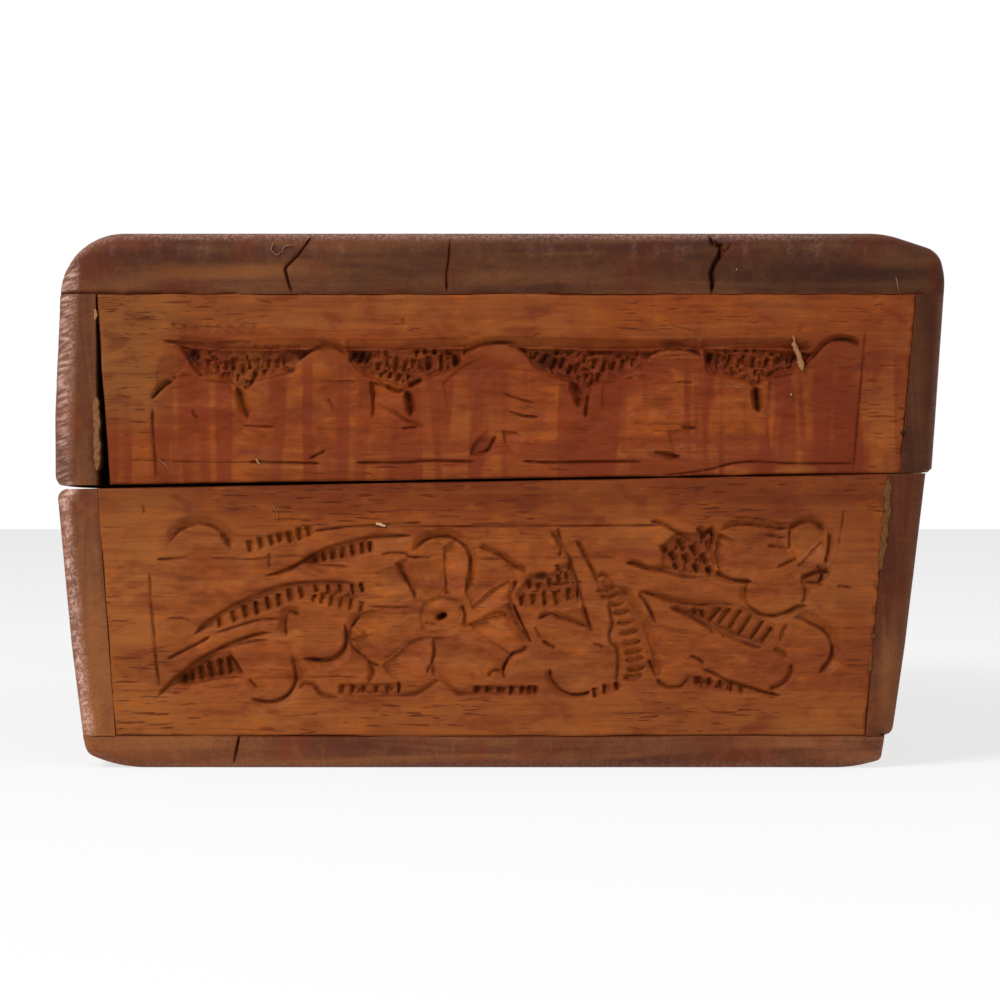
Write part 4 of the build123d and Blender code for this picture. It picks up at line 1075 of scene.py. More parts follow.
def carve_fruit(relief, middle, radius, stem):
    """Round fruit, cut steep on its own side, with a short stem."""
    middle = np.array(middle, float)
    turns = np.linspace(stem + 0.5, stem + 2 * math.pi - 0.3, 22)
    ring = [middle + radius * np.array([math.cos(t), math.sin(t)]) for t in turns]
    relief.line(ring, 1.7, 0.8, 0.6, 0.1, 0.85, 0.6, False)
    relief.dish(middle, radius * 0.8, 0.3)
    start = middle + radius * 0.3 * np.array([math.cos(stem), math.sin(stem)])
    relief.line([start, middle + radius * 1.25 * np.array([math.cos(stem), math.sin(stem)])], 1.1,
                0.6, 0, 0.3, 0.8, 0.5)


def carve_top(relief):
    """Flower, leaves and fruits inside a scribed border; a guess after the ends."""
    carve_border(relief, -71, 71, -44.5, 40)
    carve_flower(relief, (0, -2.0), 18.5, 8)
    for side in (-1, 1):
        carve_leaf(relief, [(side * 17, 4), (side * 32, 13), (side * 48, 16), (side * 67, 33)], 13,
                   5.8, side)
        carve_leaf(relief, [(side * 17, -9), (side * 32, -17), (side * 48, -20), (side * 67, -38)],
                   13, 5.8, -side)
        carve_leaf(relief, [(side * 21, -3), (side * 36, 3), (side * 52, -1), (side * 66, -9)], 12,
                   5.2, side)
        carve_leaf(relief, [(side * 5, 18), (side * 14, 27), (side * 28, 32), (side * 46, 34)], 10,
                   4.6, side)
        carve_leaf(relief, [(side * 5, -22), (side * 14, -31), (side * 28, -37), (side * 46, -39)],
                   10, 4.6, -side)
        carve_fruit(relief, (side * 59, 9.5), 4.6, math.pi / 2 + side * 0.9)
        carve_fruit(relief, (side * 63, -20.5), 4.0, math.pi / 2)
        carve_fruit(relief, (side * 44, 26.5), 3.6, -math.pi / 2)
        carve_fruit(relief, (side * 42, -30.0), 3.6, math.pi / 2)


def carve_lid_front(relief):
    """Row of scallops along the lid's front; a guess after the ends."""
    carve_border(relief, -70, 70, 37.6, 55.2)
    carve_scallops(relief, -66, 66, 51.6, 8, 8.4)


def carve_base_front(relief):
    """Flower with leaves to both sides; a guess after the ends."""
    carve_border(relief, -70, 70, 6.8, 31.2)
    carve_flower(relief, (0, 18.6), 9.6, 7)
    for side in (-1, 1):
        carve_leaf(relief, [(side * 13, 22), (side * 24, 27.0), (side * 36, 27.4), (side * 46, 24)],
                   9, 2.8, -side)
        carve_leaf(relief, [(side * 13, 14), (side * 26, 9.4), (side * 40, 9.0), (side * 52, 12)],
                   10, 2.8, side)
        carve_leaf(relief, [(side * 16, 18), (side * 30, 18.6), (side * 44, 17.4), (side * 56, 19)],
                   10, 2.6, side)
        carve_leaf(relief, [(side * 50, 27.6), (side * 57, 24.4), (side * 63, 20), (side * 66, 13)],
                   7, 2.6, side)
        carve_fruit(relief, (side * 59.5, 12.2), 3.0, math.pi / 2)
        carve_fruit(relief, (side * 50.5, 22.6), 2.6, math.pi / 2 + side * 1.2)


# Finishes

class Flow:
    """A socket of a finish, with the arithmetic of Math nodes."""

    def __init__(self, finish, socket):
        self.finish = finish
        self.socket = socket

    def _math(self, operation, first, second):
        return self.finish.node("ShaderNodeMath", {"operation": operation}, {0: first, 1: second})

    def __add__(self, other):
        return self._math("ADD", self, other)

    def __sub__(self, other):
        return self._math("SUBTRACT", self, other)

    def __mul__(self, other):
        return self._math("MULTIPLY", self, other)

    __radd__ = __add__


class Finish:
    """Nodes of a material or of the world; their places are millimetres."""

    def __init__(self, painted):
        self.painted = painted
        painted.use_nodes = True
        self.tree = painted.node_tree
        self.tree.nodes.clear()

    def node(self, kind, settings=None, sockets=None, output=0):
        made = self.tree.nodes.new(kind)
        for name, value in (settings or {}).items():
            setattr(made, name, value)
        for name, value in (sockets or {}).items():
            socket = made.inputs[name]
            if isinstance(value, Flow):
                self.tree.links.new(value.socket, socket)
            elif socket.type == "RGBA":
                socket.default_value = (*value, 1.0)
            else:
                socket.default_value = value
        return Flow(self, made.outputs[output])

    def places(self, along_y=False, shift=0.0):
        """Places in the wood, the grain along the first axis."""
        object_places = self.node("ShaderNodeTexCoord", output=3)
        scaled = self.node("ShaderNodeVectorMath", {"operation": "SCALE"}, {0: object_places, 3: 1 / MM})
        if along_y:
            scaled = self.turn(scaled, (0, 0, -math.pi / 2))
        moved = (shift, shift * 0.7, shift * 1.3)
        return self.node("ShaderNodeVectorMath", {"operation": "ADD"}, {0: scaled, 1: moved})

    def turn(self, places, angles):
        return self.node("ShaderNodeMapping", {"vector_type": "POINT"},
                         {0: places, 1: (0, 0, 0), 2: angles})

    def noise(self, places, frequencies, detail=2.0, roughness=0.5, distortion=0.0):
        """Noise with a number of waves a millimetre along each axis."""
        vector = self.node("ShaderNodeVectorMath", {"operation": "MULTIPLY"},
                           {0: places, 1: frequencies})
        sockets = {"Vector": vector, "Scale": 1.0, "Detail": detail, "Roughness": roughness,
                   "Distortion": distortion}
        return self.node("ShaderNodeTexNoise", {"noise_dimensions": "3D"}, sockets)

    def step(self, value, start, end):
        """Smooth step of a value from 0 to 1."""
        sockets = {0: value, 1: start, 2: end, 3: 0.0, 4: 1.0}
        return self.node("ShaderNodeMapRange", {"interpolation_type": "SMOOTHSTEP"}, sockets)

    def mix(self, share, first, second):
        return self.node("ShaderNodeMix", {"data_type": "RGBA"}, {0: share, 6: first, 7: second}, 2)

    def layer(self, name):
        return self.node("ShaderNodeAttribute", {"attribute_name": name}, output=2)

    def surface(self, base, roughness, normal, metallic=0.0, specular=0.5):
        """Ends a material in a plain shader and hands it over."""
        sockets = {"Base Color": base, "Roughness": roughness, "Metallic": metallic, "Normal": normal}
        shader = self.node("ShaderNodeBsdfPrincipled", None, {**sockets, "Specular IOR Level": specular})
        self.end(shader, "ShaderNodeOutputMaterial")
        return self.painted

    def end(self, shader, kind):
        self.tree.links.new(shader.socket, self.tree.nodes.new(kind).inputs["Surface"])

    def bump(self, height, strength, distance):
        return self.node("ShaderNodeBump", None,
                         {"Height": height, "Strength": strength, "Distance": distance * MM})


class BoxColours(bpy.types.PropertyGroup):
    """Colours of the stain, the metal and what has gathered in the cuts; some also serve as painted
    shade and painted highlight.
    """

    face: colour("Stained wood", "Warm brown of the boards' long grain", (124, 57, 16))
    red: colour("Red streaks", "Redder bands of the stain", (99, 35, 9))
    glow: colour("Amber patches", "Clear amber patches between the streaks", (158, 80, 15))
    olive: colour("Olive patches", "Paler patches where the stain is thin", (140, 82, 36))
    # Also the halo round the darkened cuts, which is soiling and painted shade
    vein: colour("Dark veins", "Dark veins and open pores", (80, 29, 7))
    # Also the core of the darkened cuts and hollows, which is soiling and painted shade
    soil: colour("Soil", "Old polish and dust in the cuts", (48, 16, 5))
    end_light: colour("Light end grain", "Lighter bands of the end grain", (114, 68, 38))
    end_dark: colour("Dark end grain", "Stain soaked into the end grain", (78, 40, 24))
    # Also a painted highlight on rounded edges that face the light
    rubbed: colour("Rubbed edge", "Raw wood shown by a rasp", (196, 156, 142))
    inside: colour("Inside", "Plain wood inside the box", (150, 94, 50))
    brass: colour("Brass", "Aged brass of the hinges", (136, 102, 50))
    steel: colour("Steel", "Steel of pins and brads", (120, 116, 110))
    raw: colour("Raw wood", "Torn wood that took no stain", (120, 78, 44))
    splinter: colour("Splinter", "Pale splinter caught in the carving", (146, 100, 64))
    dust: colour("Dust", "Pale dust and hairs", (150, 118, 88))
    glue: colour("Glue", "Dried glue pressed out of a joint", (96, 58, 22))


class BoxSizes(bpy.types.PropertyGroup):
    """Fineness of the nets and depth of the carving."""

    carving: FloatProperty(
        name="Carving depth", description="Share of each cut's drawn depth",
        subtype="FACTOR", default=1.2, min=0, max=2,
    )
    carved_across: cell_count("Carved net across", "Cells across a carved end", 540)
    carved_up_base: cell_count("Base net up", "Cells up the base's carved end", 176)
    carved_up_lid: cell_count("Lid net up", "Cells up the lid's carved end", 166)
    top_along: cell_count("Top net along", "Cells along the top board", 270)
    top_across: cell_count("Top net across", "Cells across the top board", 196)
    front_along: cell_count("Front net along", "Cells along the front boards", 400)


def colours():
    """Colours set in the scene."""
    return bpy.context.scene.trinket_box_colours


def sizes():
    """Fineness and depth set in the scene."""
    return bpy.context.scene.trinket_box_sizes


def wood(name, along_y=False, shift=0.0, bands=0.0, ring=(0.03, 0.34)):
    """Stained hardwood; a board's layers say where it is soiled, worn, paler or darker, and where shade
    and highlight are painted into its colour.
    """
    c = colours()
    f = Finish(bpy.data.materials.new(name))
    places = f.places(along_y, shift)
    broad = f.noise(places, (0.014, 0.13, 0.13), 3.0, 0.55, 0.8)
    streak = f.noise(places, (0.040, 0.9, 0.9), 5.0, 0.62, 0.4)
    fibre = f.noise(places, (0.14, 4.2, 4.2), 2.0)
    pore = f.noise(places, (0.34, 3.4, 3.4), 1.0, 0.4)
    patch = f.noise(places, (0.06, 0.12, 0.12), 2.0)
    speck = f.noise(places, (2.4, 2.4, 2.4), 3.0, 0.7)
    mottle = f.noise(places, (0.22, 0.42, 0.42), 3.0, 0.6, 0.5)

    stain = f.mix(f.step(broad, 0.40, 0.62) * 0.75, c.face, c.red)
    stain = f.mix(f.layer("olive") + f.step(patch, 0.52, 0.70) * 0.30, stain, c.olive)
    stain = f.mix(f.step(mottle, 0.52, 0.68) * 0.55, stain, c.red)
    stain = f.mix(f.step(mottle, 0.47, 0.32) * 0.36, stain, c.glow)
    smudge = f.noise(places, (0.10, 0.22, 0.22), 3.0, 0.6, 0.8)
    stain = f.mix(f.step(smudge, 0.54, 0.70) * 0.40, stain, c.vein)
    stain = f.mix(f.step(streak, 0.52, 0.74) * 0.40, stain, c.vein)
    stain = f.mix(f.step(streak, 0.47, 0.30) * 0.35, stain, c.olive)
    if bands:
        shade = f.noise(places, (0.30, 0.03, 0.03), 2.0, 0.5, 0.4)
        thick = f.layer("olive") * -1.2 + 1.0
        stain = f.mix(f.step(shade, 0.46, 0.57) * thick * f.layer("bars") * bands, stain, c.red)
    stain = f.mix(f.step(fibre, 0.42, 0.68) * 0.20, stain, c.vein)
    opened = f.step(pore, 0.63, 0.70) * f.step(patch, 0.60, 0.44) * (f.layer("flat") * -0.55 + 1.0)
    stain = f.mix(opened * 0.80, stain, c.vein)

    rings = f.noise(places, (0.01, *ring), 3.0, 0.55, 0.5)
    flecks = f.noise(places, (0.4, ring[1] * 3.2 + 0.5, ring[0] * 3.2 + 0.5), 4.0, 0.7)
    end = f.mix(f.step(rings, 0.36, 0.66), c.end_dark, c.end_light)
    end = f.mix(f.step(flecks, 0.52, 0.74) * 0.35, end, c.end_light)
    end = f.mix(f.step(flecks, 0.48, 0.28) * 0.40, end, c.end_dark)
    end = f.mix(f.step(patch, 0.50, 0.64) * 0.35, end, c.red)
    end = f.mix(f.step(mottle, 0.50, 0.62) * 0.25, end, c.end_light)
    end = f.mix(f.step(mottle, 0.47, 0.36) * 0.25, end, c.end_dark)
    # Below zero the olive layer turns end grain maroon instead
    end = f.mix(f.layer("olive") * -1.0, end, c.red)
    end = f.mix(f.layer("olive"), end, c.olive)
    cut_end = f.layer("cut_end")
    base = f.mix(cut_end, stain, end)

    grime_and_shade = f.layer("soil")
    tone = f.layer("tone")
    base = f.node("ShaderNodeVectorMath", {"operation": "SCALE"}, {0: base, 3: tone + 1.0})
    # Pale edges: raw wood where the stain is worn or rasped off, with a painted highlight on the rounded
    # edges
    rasp = f.noise(f.turn(places, (-0.30, 0, 0)), (0.2, 0.45, 2.5), 1.0, 0.5)
    worn = speck + (rasp * 0.8 + speck * 0.2 - speck) * f.layer("rasped")
    rubbed = f.layer("rub") * (f.step(worn, 0.42, 0.64) * 0.72 + 0.17)
    base = f.mix(rubbed, base, c.rubbed)
    # Dark cuts and hollows: soiling and painted shade, a halo of vein colour round a darker core
    base = f.mix(f.step(grime_and_shade, 0.04, 0.60) * 0.66, base, c.vein)
    base = f.mix(f.step(grime_and_shade, 0.44, 1.00) * 0.88, base, c.soil)

    height = streak * 0.35 + fibre * 0.25 + mottle * 0.8 - opened * 0.8 + speck * (cut_end * 0.8 + 0.30)
    height = height + rasp * f.layer("rasped") * 2.4
    roughness = 0.48 + streak * 0.16 + grime_and_shade * 0.25 + cut_end * 0.06
    return f.surface(base, roughness, f.bump(height, 0.6, 0.18), specular=0.10)


def plain_wood():
    """Unstained wood of the inner faces, made once for all boards."""
    made = bpy.data.materials.get("plain_inner_wood")
    if made:
        return made
    c = colours()
    f = Finish(bpy.data.materials.new("plain_inner_wood"))
    places = f.places()
    broad = f.noise(places, (0.02, 0.16, 0.16), 3.0, 0.6, 0.6)
    streak = f.noise(places, (0.05, 1.4, 1.4), 4.0, 0.65, 0.3)
    pore = f.noise(places, (0.3, 3.2, 3.2), 1.0)
    dark = tuple(v * 0.62 for v in c.inside)
    base = f.mix(f.step(broad, 0.42, 0.64) * 0.5, c.inside, dark)
    base = f.mix(f.step(streak, 0.50, 0.72) * 0.45, base, dark)
    base = f.mix(f.step(pore, 0.64, 0.70) * 0.5, base, c.vein)
    height = streak * 0.5 - f.step(pore, 0.64, 0.70)
    return f.surface(base, 0.62 + streak * 0.1, f.bump(height, 0.5, 0.12), specular=0.15)


def metal(name, base_colour, dull, shift):
    """Aged metal, darker and duller in spots."""
    f = Finish(bpy.data.materials.new(name))
    places = f.places(False, shift)
    tarnish = f.noise(places, (0.22, 0.22, 0.22), 5.0, 0.6)
    grit = f.noise(places, (5.0, 5.0, 5.0), 2.0)
    dark = tuple(v * 0.42 for v in base_colour)
    base = f.mix(f.step(tarnish, 0.42, 0.66) * 0.75, base_colour, dark)
    roughness = dull + f.step(tarnish, 0.4, 0.7) * 0.3
    return f.surface(base, roughness, f.bump(grit, 0.25, 0.03), 0.95)


# Boards of the box, first their sections across the box

def lid_top_section():
    start = lid_outline.crossing(joint_height)
    end = lid_outline.crossing(joint_height, True)
    left = lid_outline.piece(start, start + 6.1)
    upper = lid_outline.piece(start + 6.1, end - 5.2, 200)
    right = lid_outline.piece(end - 5.2, end)
    right = Outline(right.points[::-1])
    lower = straight(left.points[0], right.points[0])
    return Section(lower, upper, left, right)


def lid_front_section():
    rim_y = outer_y(lid_outline, lid_rim(-53.9), False)
    corner = (rim_y, lid_rim(rim_y))
    joint_y = outer_y(lid_outline, joint_height, False)
    belly = lid_outline.piece(lid_outline.crossing(corner[1] + 1.2), lid_outline.crossing(joint_height))
    inner = lid_front_inner
    rim = rounded([(inner, lid_rim(inner)), corner, (rim_y, corner[1] + 1.2)], [1.19])
    half = rim.length - 0.95
    lower = Outline(rim.piece(0, half).points[::-1])
    left = Outline(np.vstack([rim.piece(half, rim.length).points, belly.points[1:]]))
    right = straight(lower.points[-1], (inner, joint_height))
    return Section(lower, straight((joint_y, joint_height), (inner, joint_height)), left, right)


def lid_back_section():
    start = lid_outline.crossing(lid_rim(52.4) + 0.9, True)
    end = lid_outline.crossing(joint_height, True)
    outer = Outline(lid_outline.piece(end, start).points[::-1])
    rim_y = outer_y(lid_outline, lid_rim(52.4), True)
    chamfer = [(rim_y - 0.5, lid_rim(rim_y)), (rim_y + 0.02, lid_rim(rim_y) + 0.45)]
    right = Outline(np.vstack([chamfer, outer.points]))
    inner_low = (lid_right_joint[0], lid_rim(lid_right_joint[0]))
    inner_high = (lid_right_joint[1], joint_height)
    return Section(straight(inner_low, chamfer[0]), straight(inner_high, outer.points[-1]),
                   straight(inner_low, inner_high), right)


def four_sides(low_left, low_right, high_left, high_right):
    """Section with straight edges between its corners."""
    return Section(straight(low_left, low_right), straight(high_left, high_right),
                   straight(low_left, high_left), straight(low_right, high_right))


def lid_end_section():
    low = [(joint[0], lid_rim(joint[0])) for joint in (lid_left_joint, lid_right_joint)]
    return four_sides(*low, (lid_left_joint[1], joint_height), (lid_right_joint[1], joint_height))


def base_front_section():
    rim_y = outer_y(base_outline, base_rim(-53.8), False)
    corner = (rim_y, base_rim(rim_y))
    inner_low = (base_left_joint[0], floor_top)
    inner_high = (base_left_joint[1], base_rim(base_left_joint[1]))
    below = outer_y(base_outline, corner[1] - 1.3, False)
    rim = rounded([(below, corner[1] - 1.3), corner, inner_high], [1.15])
    half = rim.length - 4.0
    wall = base_outline.piece(base_outline.crossing(floor_top + 0.02),
                              base_outline.crossing(corner[1] - 1.3))
    left = Outline(np.vstack([wall.points[:-1], rim.piece(0, half).points]))
    upper = rim.piece(half, rim.length)
    lower = straight(left.points[0], inner_low)
    return Section(lower, upper, left, straight(inner_low, upper.points[-1]))


def base_back_section():
    foot = base_outline.crossing(floor_top + 0.02, True)
    top = base_outline.crossing(base_rim(rim_line_y), True)
    outer = base_outline.piece(foot - 0.6, top)
    inner_low = (base_right_joint[0], floor_top)
    inner_high = (base_right_joint[1], base_rim(base_right_joint[1]))
    return Section(straight(inner_low, outer.points[0]), straight(inner_high, outer.points[-1]),
                   straight(inner_low, inner_high), outer)


def base_end_section():
    high = [(joint[1], base_rim(joint[1])) for joint in (base_left_joint, base_right_joint)]
    return four_sides((base_left_joint[0], floor_top), (base_right_joint[0], floor_top), *high)


def bottom_section():
    whole = bottom_outline
    left = Outline(whole.piece(0, 3.4).points[::-1])
    lower = whole.piece(3.4, whole.length - 3.2, 160)
    right = whole.piece(whole.length - 3.2, whole.length)
    return Section(lower, straight(left.points[-1], right.points[-1]), left, right)


def end_of_board(section, sides, rounding, places):
    """How far each place of a board's end lies back from the end plane, and how far from its edge."""
    least = np.full(len(places), np.inf)
    for side in sides:
        least = np.minimum(least, getattr(section, side).distance(places))
    into = np.minimum(least, rounding)
    return rounding - np.sqrt(np.maximum(rounding ** 2 - (rounding - into) ** 2, 0)), least


def long_board(name, section, cells, end_cuts, flats, sides, rounding, across, up, carve, face):
    """Board that runs the whole length of the box, its ends rounded where they are handled."""
    board = board_net(name + "_wood", cells, end_cuts, flats)
    net = net_of(board)
    places = section.places(across((net[:, 1] + 1) / 2), up((net[:, 2] + 1) / 2))
    back, edge = end_of_board(section, sides, rounding, places)
    x = net[:, 0] * (half_length - back)
    at_end = np.abs(net[:, 0]) > net_side
    layers = {key: np.zeros(len(x)) for key in ("soil", "rub", "tone", "olive", "rasped")}
    layers["cut_end"] = np.where(at_end, ease(edge, -0.8, 0.9), 0.0)
    for side in (-1, 1):
        chosen = at_end & (net[:, 0] * side > 0)
        relief = Relief(places[chosen, 0] * side, places[chosen, 1])
        tone, olive = carve(relief, edge[chosen], side)
        x[chosen] -= side * relief.depth()
        for key in ("soil", "rub", "rasped"):
            layers[key][chosen] = getattr(relief, key)
        layers["tone"][chosen] = tone
        layers["olive"][chosen] = olive
    full = np.stack([x, places[:, 0], places[:, 1]], -1)
    face(full, net, layers)
    place_net(board, full * MM)
    mark(board, **layers)
    return board


def worn_face(relief, seed):
    """Slightly uneven face; hands over its tone and its olive patches."""
    a, b = relief.places.T
    relief.ground += 0.05 * (1 + waves(a, b, 11.0, 6.0, seed))
    tone = 0.06 * waves(a, b, 18.0, 7.0, seed + 1)
    return tone, 0.15 * ease(waves(a, b, 22.0, 9.0, seed + 2), 0.1, 0.7)


def cut_face(full, layers, chosen, across, up, direction, carve, seed):
    """Cuts a pattern into one face of a board, along a direction into the wood."""
    relief = Relief(full[chosen, across], full[chosen, up])
    carve(relief)
    tone, olive = worn_face(relief, seed)
    depth = relief.depth() * sizes().carving * ease(half_length - np.abs(full[chosen, 0]), 0.2, 2.0)
    full[chosen] += depth[:, None] * np.array(direction, float)
    layers["soil"][chosen] = np.maximum(layers["soil"][chosen], relief.soil)
    # The tone also carries the painted highlight and painted shade of the knife flats
    layers["tone"][chosen] = tone + relief.pale
    layers["olive"][chosen] = olive


def end_ripple(relief, depth, seed):
    """Uneven end grain, as a blunt saw and rasp leave it."""
    y, z = relief.places.T
    relief.ground += depth * (1 + waves(y, z, 5.0, 2.6, seed))
    relief.ground += depth * 0.5 * (1 + waves(y, z, 1.1, 0.7, seed + 1))
    return y, z


def rasp_strokes(y, z):
    """Furrows of a rasp drawn slantwise over end grain, from -1 to 1."""
    return waves(y * 0.34 + z * 0.94, y * 0.94 - z * 0.34, 0.44, 1.7, 23)


def top_end(relief, edge, side):
    """End of the top board, with three drying checks."""
    y, z = end_ripple(relief, 0.06, 11)
    if side > 0:
        relief.line([(-22.7, 64.4), (-24.2, 62.2), (-26.0, 60.4), (-25.5, 58.4), (-25.0, 57.2)],
                    0.34, 0.7, 0, 0.12, 1.0, bend=False)
        relief.line([(-6.0, 64.4), (-6.2, 61.6), (-6.5, 59.6), (-6.4, 57.3)], 0.26, 0.5, 0, 0.15,
                    0.9, bend=False)
        relief.line([(25.2, 64.6), (25.8, 63.4), (26.7, 63.0), (26.5, 61.8), (25.9, 60.9),
                     (25.5, 59.8), (25.7, 58.6), (25.6, 57.3)], 0.75, 1.3, 0, 0.12, 1.0, bend=False)
        relief.line([(28.2, 63.6), (27.4, 62.6), (26.6, 62.0)], 0.35, 0.4, 0, 0.3, 0.9, bend=False)
        relief.line([(-30.0, 63.6), (-29.4, 62.4), (-28.4, 62.0)], 0.16, 0.05, 0, 0.3, 0.0)
    broken = 0.95 - 0.65 * ease(y, -42, -34) + 0.45 * waves(y, z, 1.3, 50.0, 5)
    seam(relief, z - joint_height, 0.42 + 0.30 * ease(y, -34, -42), broken)
    rasped = ease(y, -50.6, -51.6) * ease(z, 62.2, 60.6)
    strokes = rasp_strokes(y, z)
    # Rounded edges painted pale: worn stain, and a painted highlight where the rounding faces up to the
    # light
    worn = 0.50 * ease(edge, 1.3, 0.2) * ease(y, 52, 30) * (0.5 + 0.5 * ease(edge, 0, 0.3))
    fibres = 0.09 * ease(waves(y, z, 0.9, 2.6, 27), 0.1, 0.8) * ease(z, 60.6, 62.8)
    relief.rub = np.maximum(np.maximum(worn, fibres), rasped * (0.6 + 0.4 * ease(strokes, 0.35, -0.35)))
    relief.rasped = rasped
    relief.ground += rasped * (0.16 + 0.16 * strokes)
    grey = 0.12 * ease(y, -46, -40) * ease(y, -28, -36) * ease(np.abs(z - 61.5), 1.8, 0.8)
    tone = -0.22 - 0.22 * ease(y, -34,
                               -10) - 0.08 * ease(y, 10, 40) - grey + 0.10 * waves(y, z, 14.0, 3.0, 8)
    # At the right, painted light: paler towards the top, where the edge turns up to the light, and
    # painted shade lower down
    tone += ease(y, 24, 32) * (0.10 * ease(z, 60.4, 61.8) - 0.08 * ease(z, 61.2, 59.8))
    blush = np.exp(-((y - 52.5) / 1.0) ** 2 - ((z - 59.4) / 2.4) ** 2)
    olive = 0.35 * ease(y, -46, -38) * ease(y, -22, -30) * ease(np.abs(z - 60.2), 1.2, 0.4)
    return tone + 0.16 * blush, olive - 0.75 * blush


def seam(relief, gap, width, strength):
    """Edge that has lost its arris along a joint, so that the joint shows as a dark line."""
    into = np.clip(1 - gap / width, 0, 1)
    relief.cut = np.maximum(relief.cut, 0.45 * into * np.clip(strength, 0, 1))
    relief.soil = np.maximum(relief.soil, ease(into, 0.2, 0.9) * np.clip(strength * 1.4, 0, 1))


def lid_front_end(relief, edge, side):
    """End of the lid's front board, rasped at its outer corner."""
    y, z = end_ripple(relief, 0.05, 21)
    rasped = ease(edge, 2.9, 1.0)
    strokes = rasp_strokes(y, z)
    relief.ground += rasped * (0.20 + 0.20 * strokes) * ease(z, 36, 48)
    # The rasped corner is painted pale: raw wood where the rasp took the stain off, and a painted
    # highlight where the rounding faces the light
    relief.rub = rasped * (0.72 + 0.35 * ease(strokes, 0.35, -0.35)) * (0.66 + 0.34 * ease(z, 40, 54))
    relief.rub *= 0.40 + 0.60 * ease(edge, 0, 0.7)
    relief.rasped = rasped
    return -0.02 + 0.10 * waves(y, z, 1.2, 6.0, 24) - 0.22 * ease(edge, 2, 4), 0.0


def lid_back_end(relief, edge, side):
    """End of the lid's back board, darkest of all."""
    y, z = end_ripple(relief, 0.05, 31)
    relief.rub = 0.16 * ease(edge, 1.2, 0.2)
    tone = -0.60 + 0.08 * waves(y, z, 1.6, 7.0, 33) + 0.14 * ease(edge, 2.4, 0.6)
    return tone, -0.26 - 0.14 * waves(y, z, 1.4, 9.0, 34)


def base_front_end(relief, edge, side):
    """End of the base's front board, its outer edge painted pale: worn stain and a painted highlight on
    the rounding.
    """
    y, z = end_ripple(relief, 0.05, 41)
    relief.rub = ease(edge, 2.2, 0.7) * (1.02 + 0.35 * waves(y, z, 0.9, 0.7, 42))
    relief.rub *= 0.40 + 0.60 * ease(edge, 0, 0.7)
    relief.rasped = 0.5 * ease(edge, 2.0, 0.6)
    return 0.16 + 0.10 * waves(y, z, 1.4, 6.0, 43), 0.25 * ease(z, 22, 10)


def base_back_end(relief, edge, side):
    """End of the base's back board, redder above."""
    y, z = end_ripple(relief, 0.05, 51)
    relief.rub = 0.10 * ease(edge, 1.2, 0.2)
    tone = -0.12 + 0.10 * waves(y, z, 1.6, 7.0, 53) - 0.28 * ease(z, 14, 24)
    return tone, 0.12 * ease(z, 22, 10) - 0.34 * ease(z, 13, 24)


def bottom_end(relief, edge, side):
    """End of the bottom board, with one drying check."""
    y, z = end_ripple(relief, 0.05, 61)
    if side > 0:
        relief.line([(-31.5, 3.9), (-31.8, 2.4), (-32.2, 0.5)], 0.3, 0.5, 0, 0.15, 1.0, bend=False)
    seam(relief, floor_top - z, 0.25, 0.55 + 0.5 * waves(y, z, 6.0, 50.0, 62))
    relief.rub = 0.2 * ease(edge, 1.2, 0.2)
    tone = 0.30 - 0.26 * ease(y, -45, -5) + 0.1 * waves(y, z, 9.0, 1.6, 63)
    return tone, 0.2 * ease(y, -20, -40)


def even(share):
    """Spacing of a net whose cells are all alike."""
    return share


def carved_end(name, section, cells, side, carve, tone):
    """Carved board let in between the long boards; side is +1 at the photographed end."""
    board = board_net(name + "_wood", (1, *cells), 0, [(0, -1)])
    net = net_of(board)
    places = section.places((net[:, 1] + 1) / 2, (net[:, 2] + 1) / 2)
    outer = net[:, 0] > 0
    relief = Relief(places[outer, 0] * side, places[outer, 1])
    y, z = relief.places.T
    carve(relief)
    relief.ground += 0.05 * (1 + waves(y, z, 9.0, 3.0, 71)) + 0.02 * (1 + waves(y, z, 2.0, 0.8, 72))
    edges = [Outline(getattr(section,
                             e).points * (side, 1)) for e in ("lower", "upper", "left", "right")]
    gap = np.min([edge.distance(relief.places) for edge in edges], axis=0)
    seam(relief, gap, 0.22, 0.45 + 0.35 * waves(y, z, 4.0, 4.0, 73))
    chipped = Outline(section.right.points * (side, 1)).distance(relief.places)
    bites = 0.25 + 0.75 * ease(waves(y, z, 50.0, 0.9, 74), -0.2, 0.8)
    relief.soil = np.maximum(relief.soil, 0.7 * ease(chipped, bites, 0.0))
    x = np.full(len(net), half_length - end_thickness)
    x[outer] = half_length - relief.depth() * sizes().carving
    place_net(board, np.stack([side * x, places[:, 0], places[:, 1]], -1) * MM)
    names = ("soil", "rub", "tone", "olive", "cut_end", "flat", "bars")
    layers = {key: np.zeros(len(net)) for key in names}
    for key in ("soil", "rub", "flat"):
        layers[key][outer] = getattr(relief, key)
    layers["bars"][outer] = (0.15 + 0.85 * ease(z, 51.0, 47.0)) * (1.0 + 0.3 * ease(y, 2.0, 24.0))
    layers["tone"][outer], layers["olive"][outer] = tone(y, z)
    # The tone also carries the painted highlight and painted shade of the knife flats
    layers["tone"][outer] += relief.pale
    mark(board, **layers)
    return board


def base_tone(y, z):
    """The base's carved end is paler at the left and below, darker at the upper right."""
    tone = -0.09 * ease(y, 12, 45) - 0.23 * ease(z, 28, 33) + 0.06 * waves(y, z, 10.0, 6.0, 81)
    olive = 0.22 + 0.42 * ease(y, -34, -46) + 0.25 * ease(z, 11, 5) - 0.22 * ease(z, 27, 33)
    olive = olive + 0.45 * np.exp(-((y + 14) / 4) ** 2 - ((z - 21.5) / 2) ** 2)
    return tone, np.clip(olive, 0, 0.75)


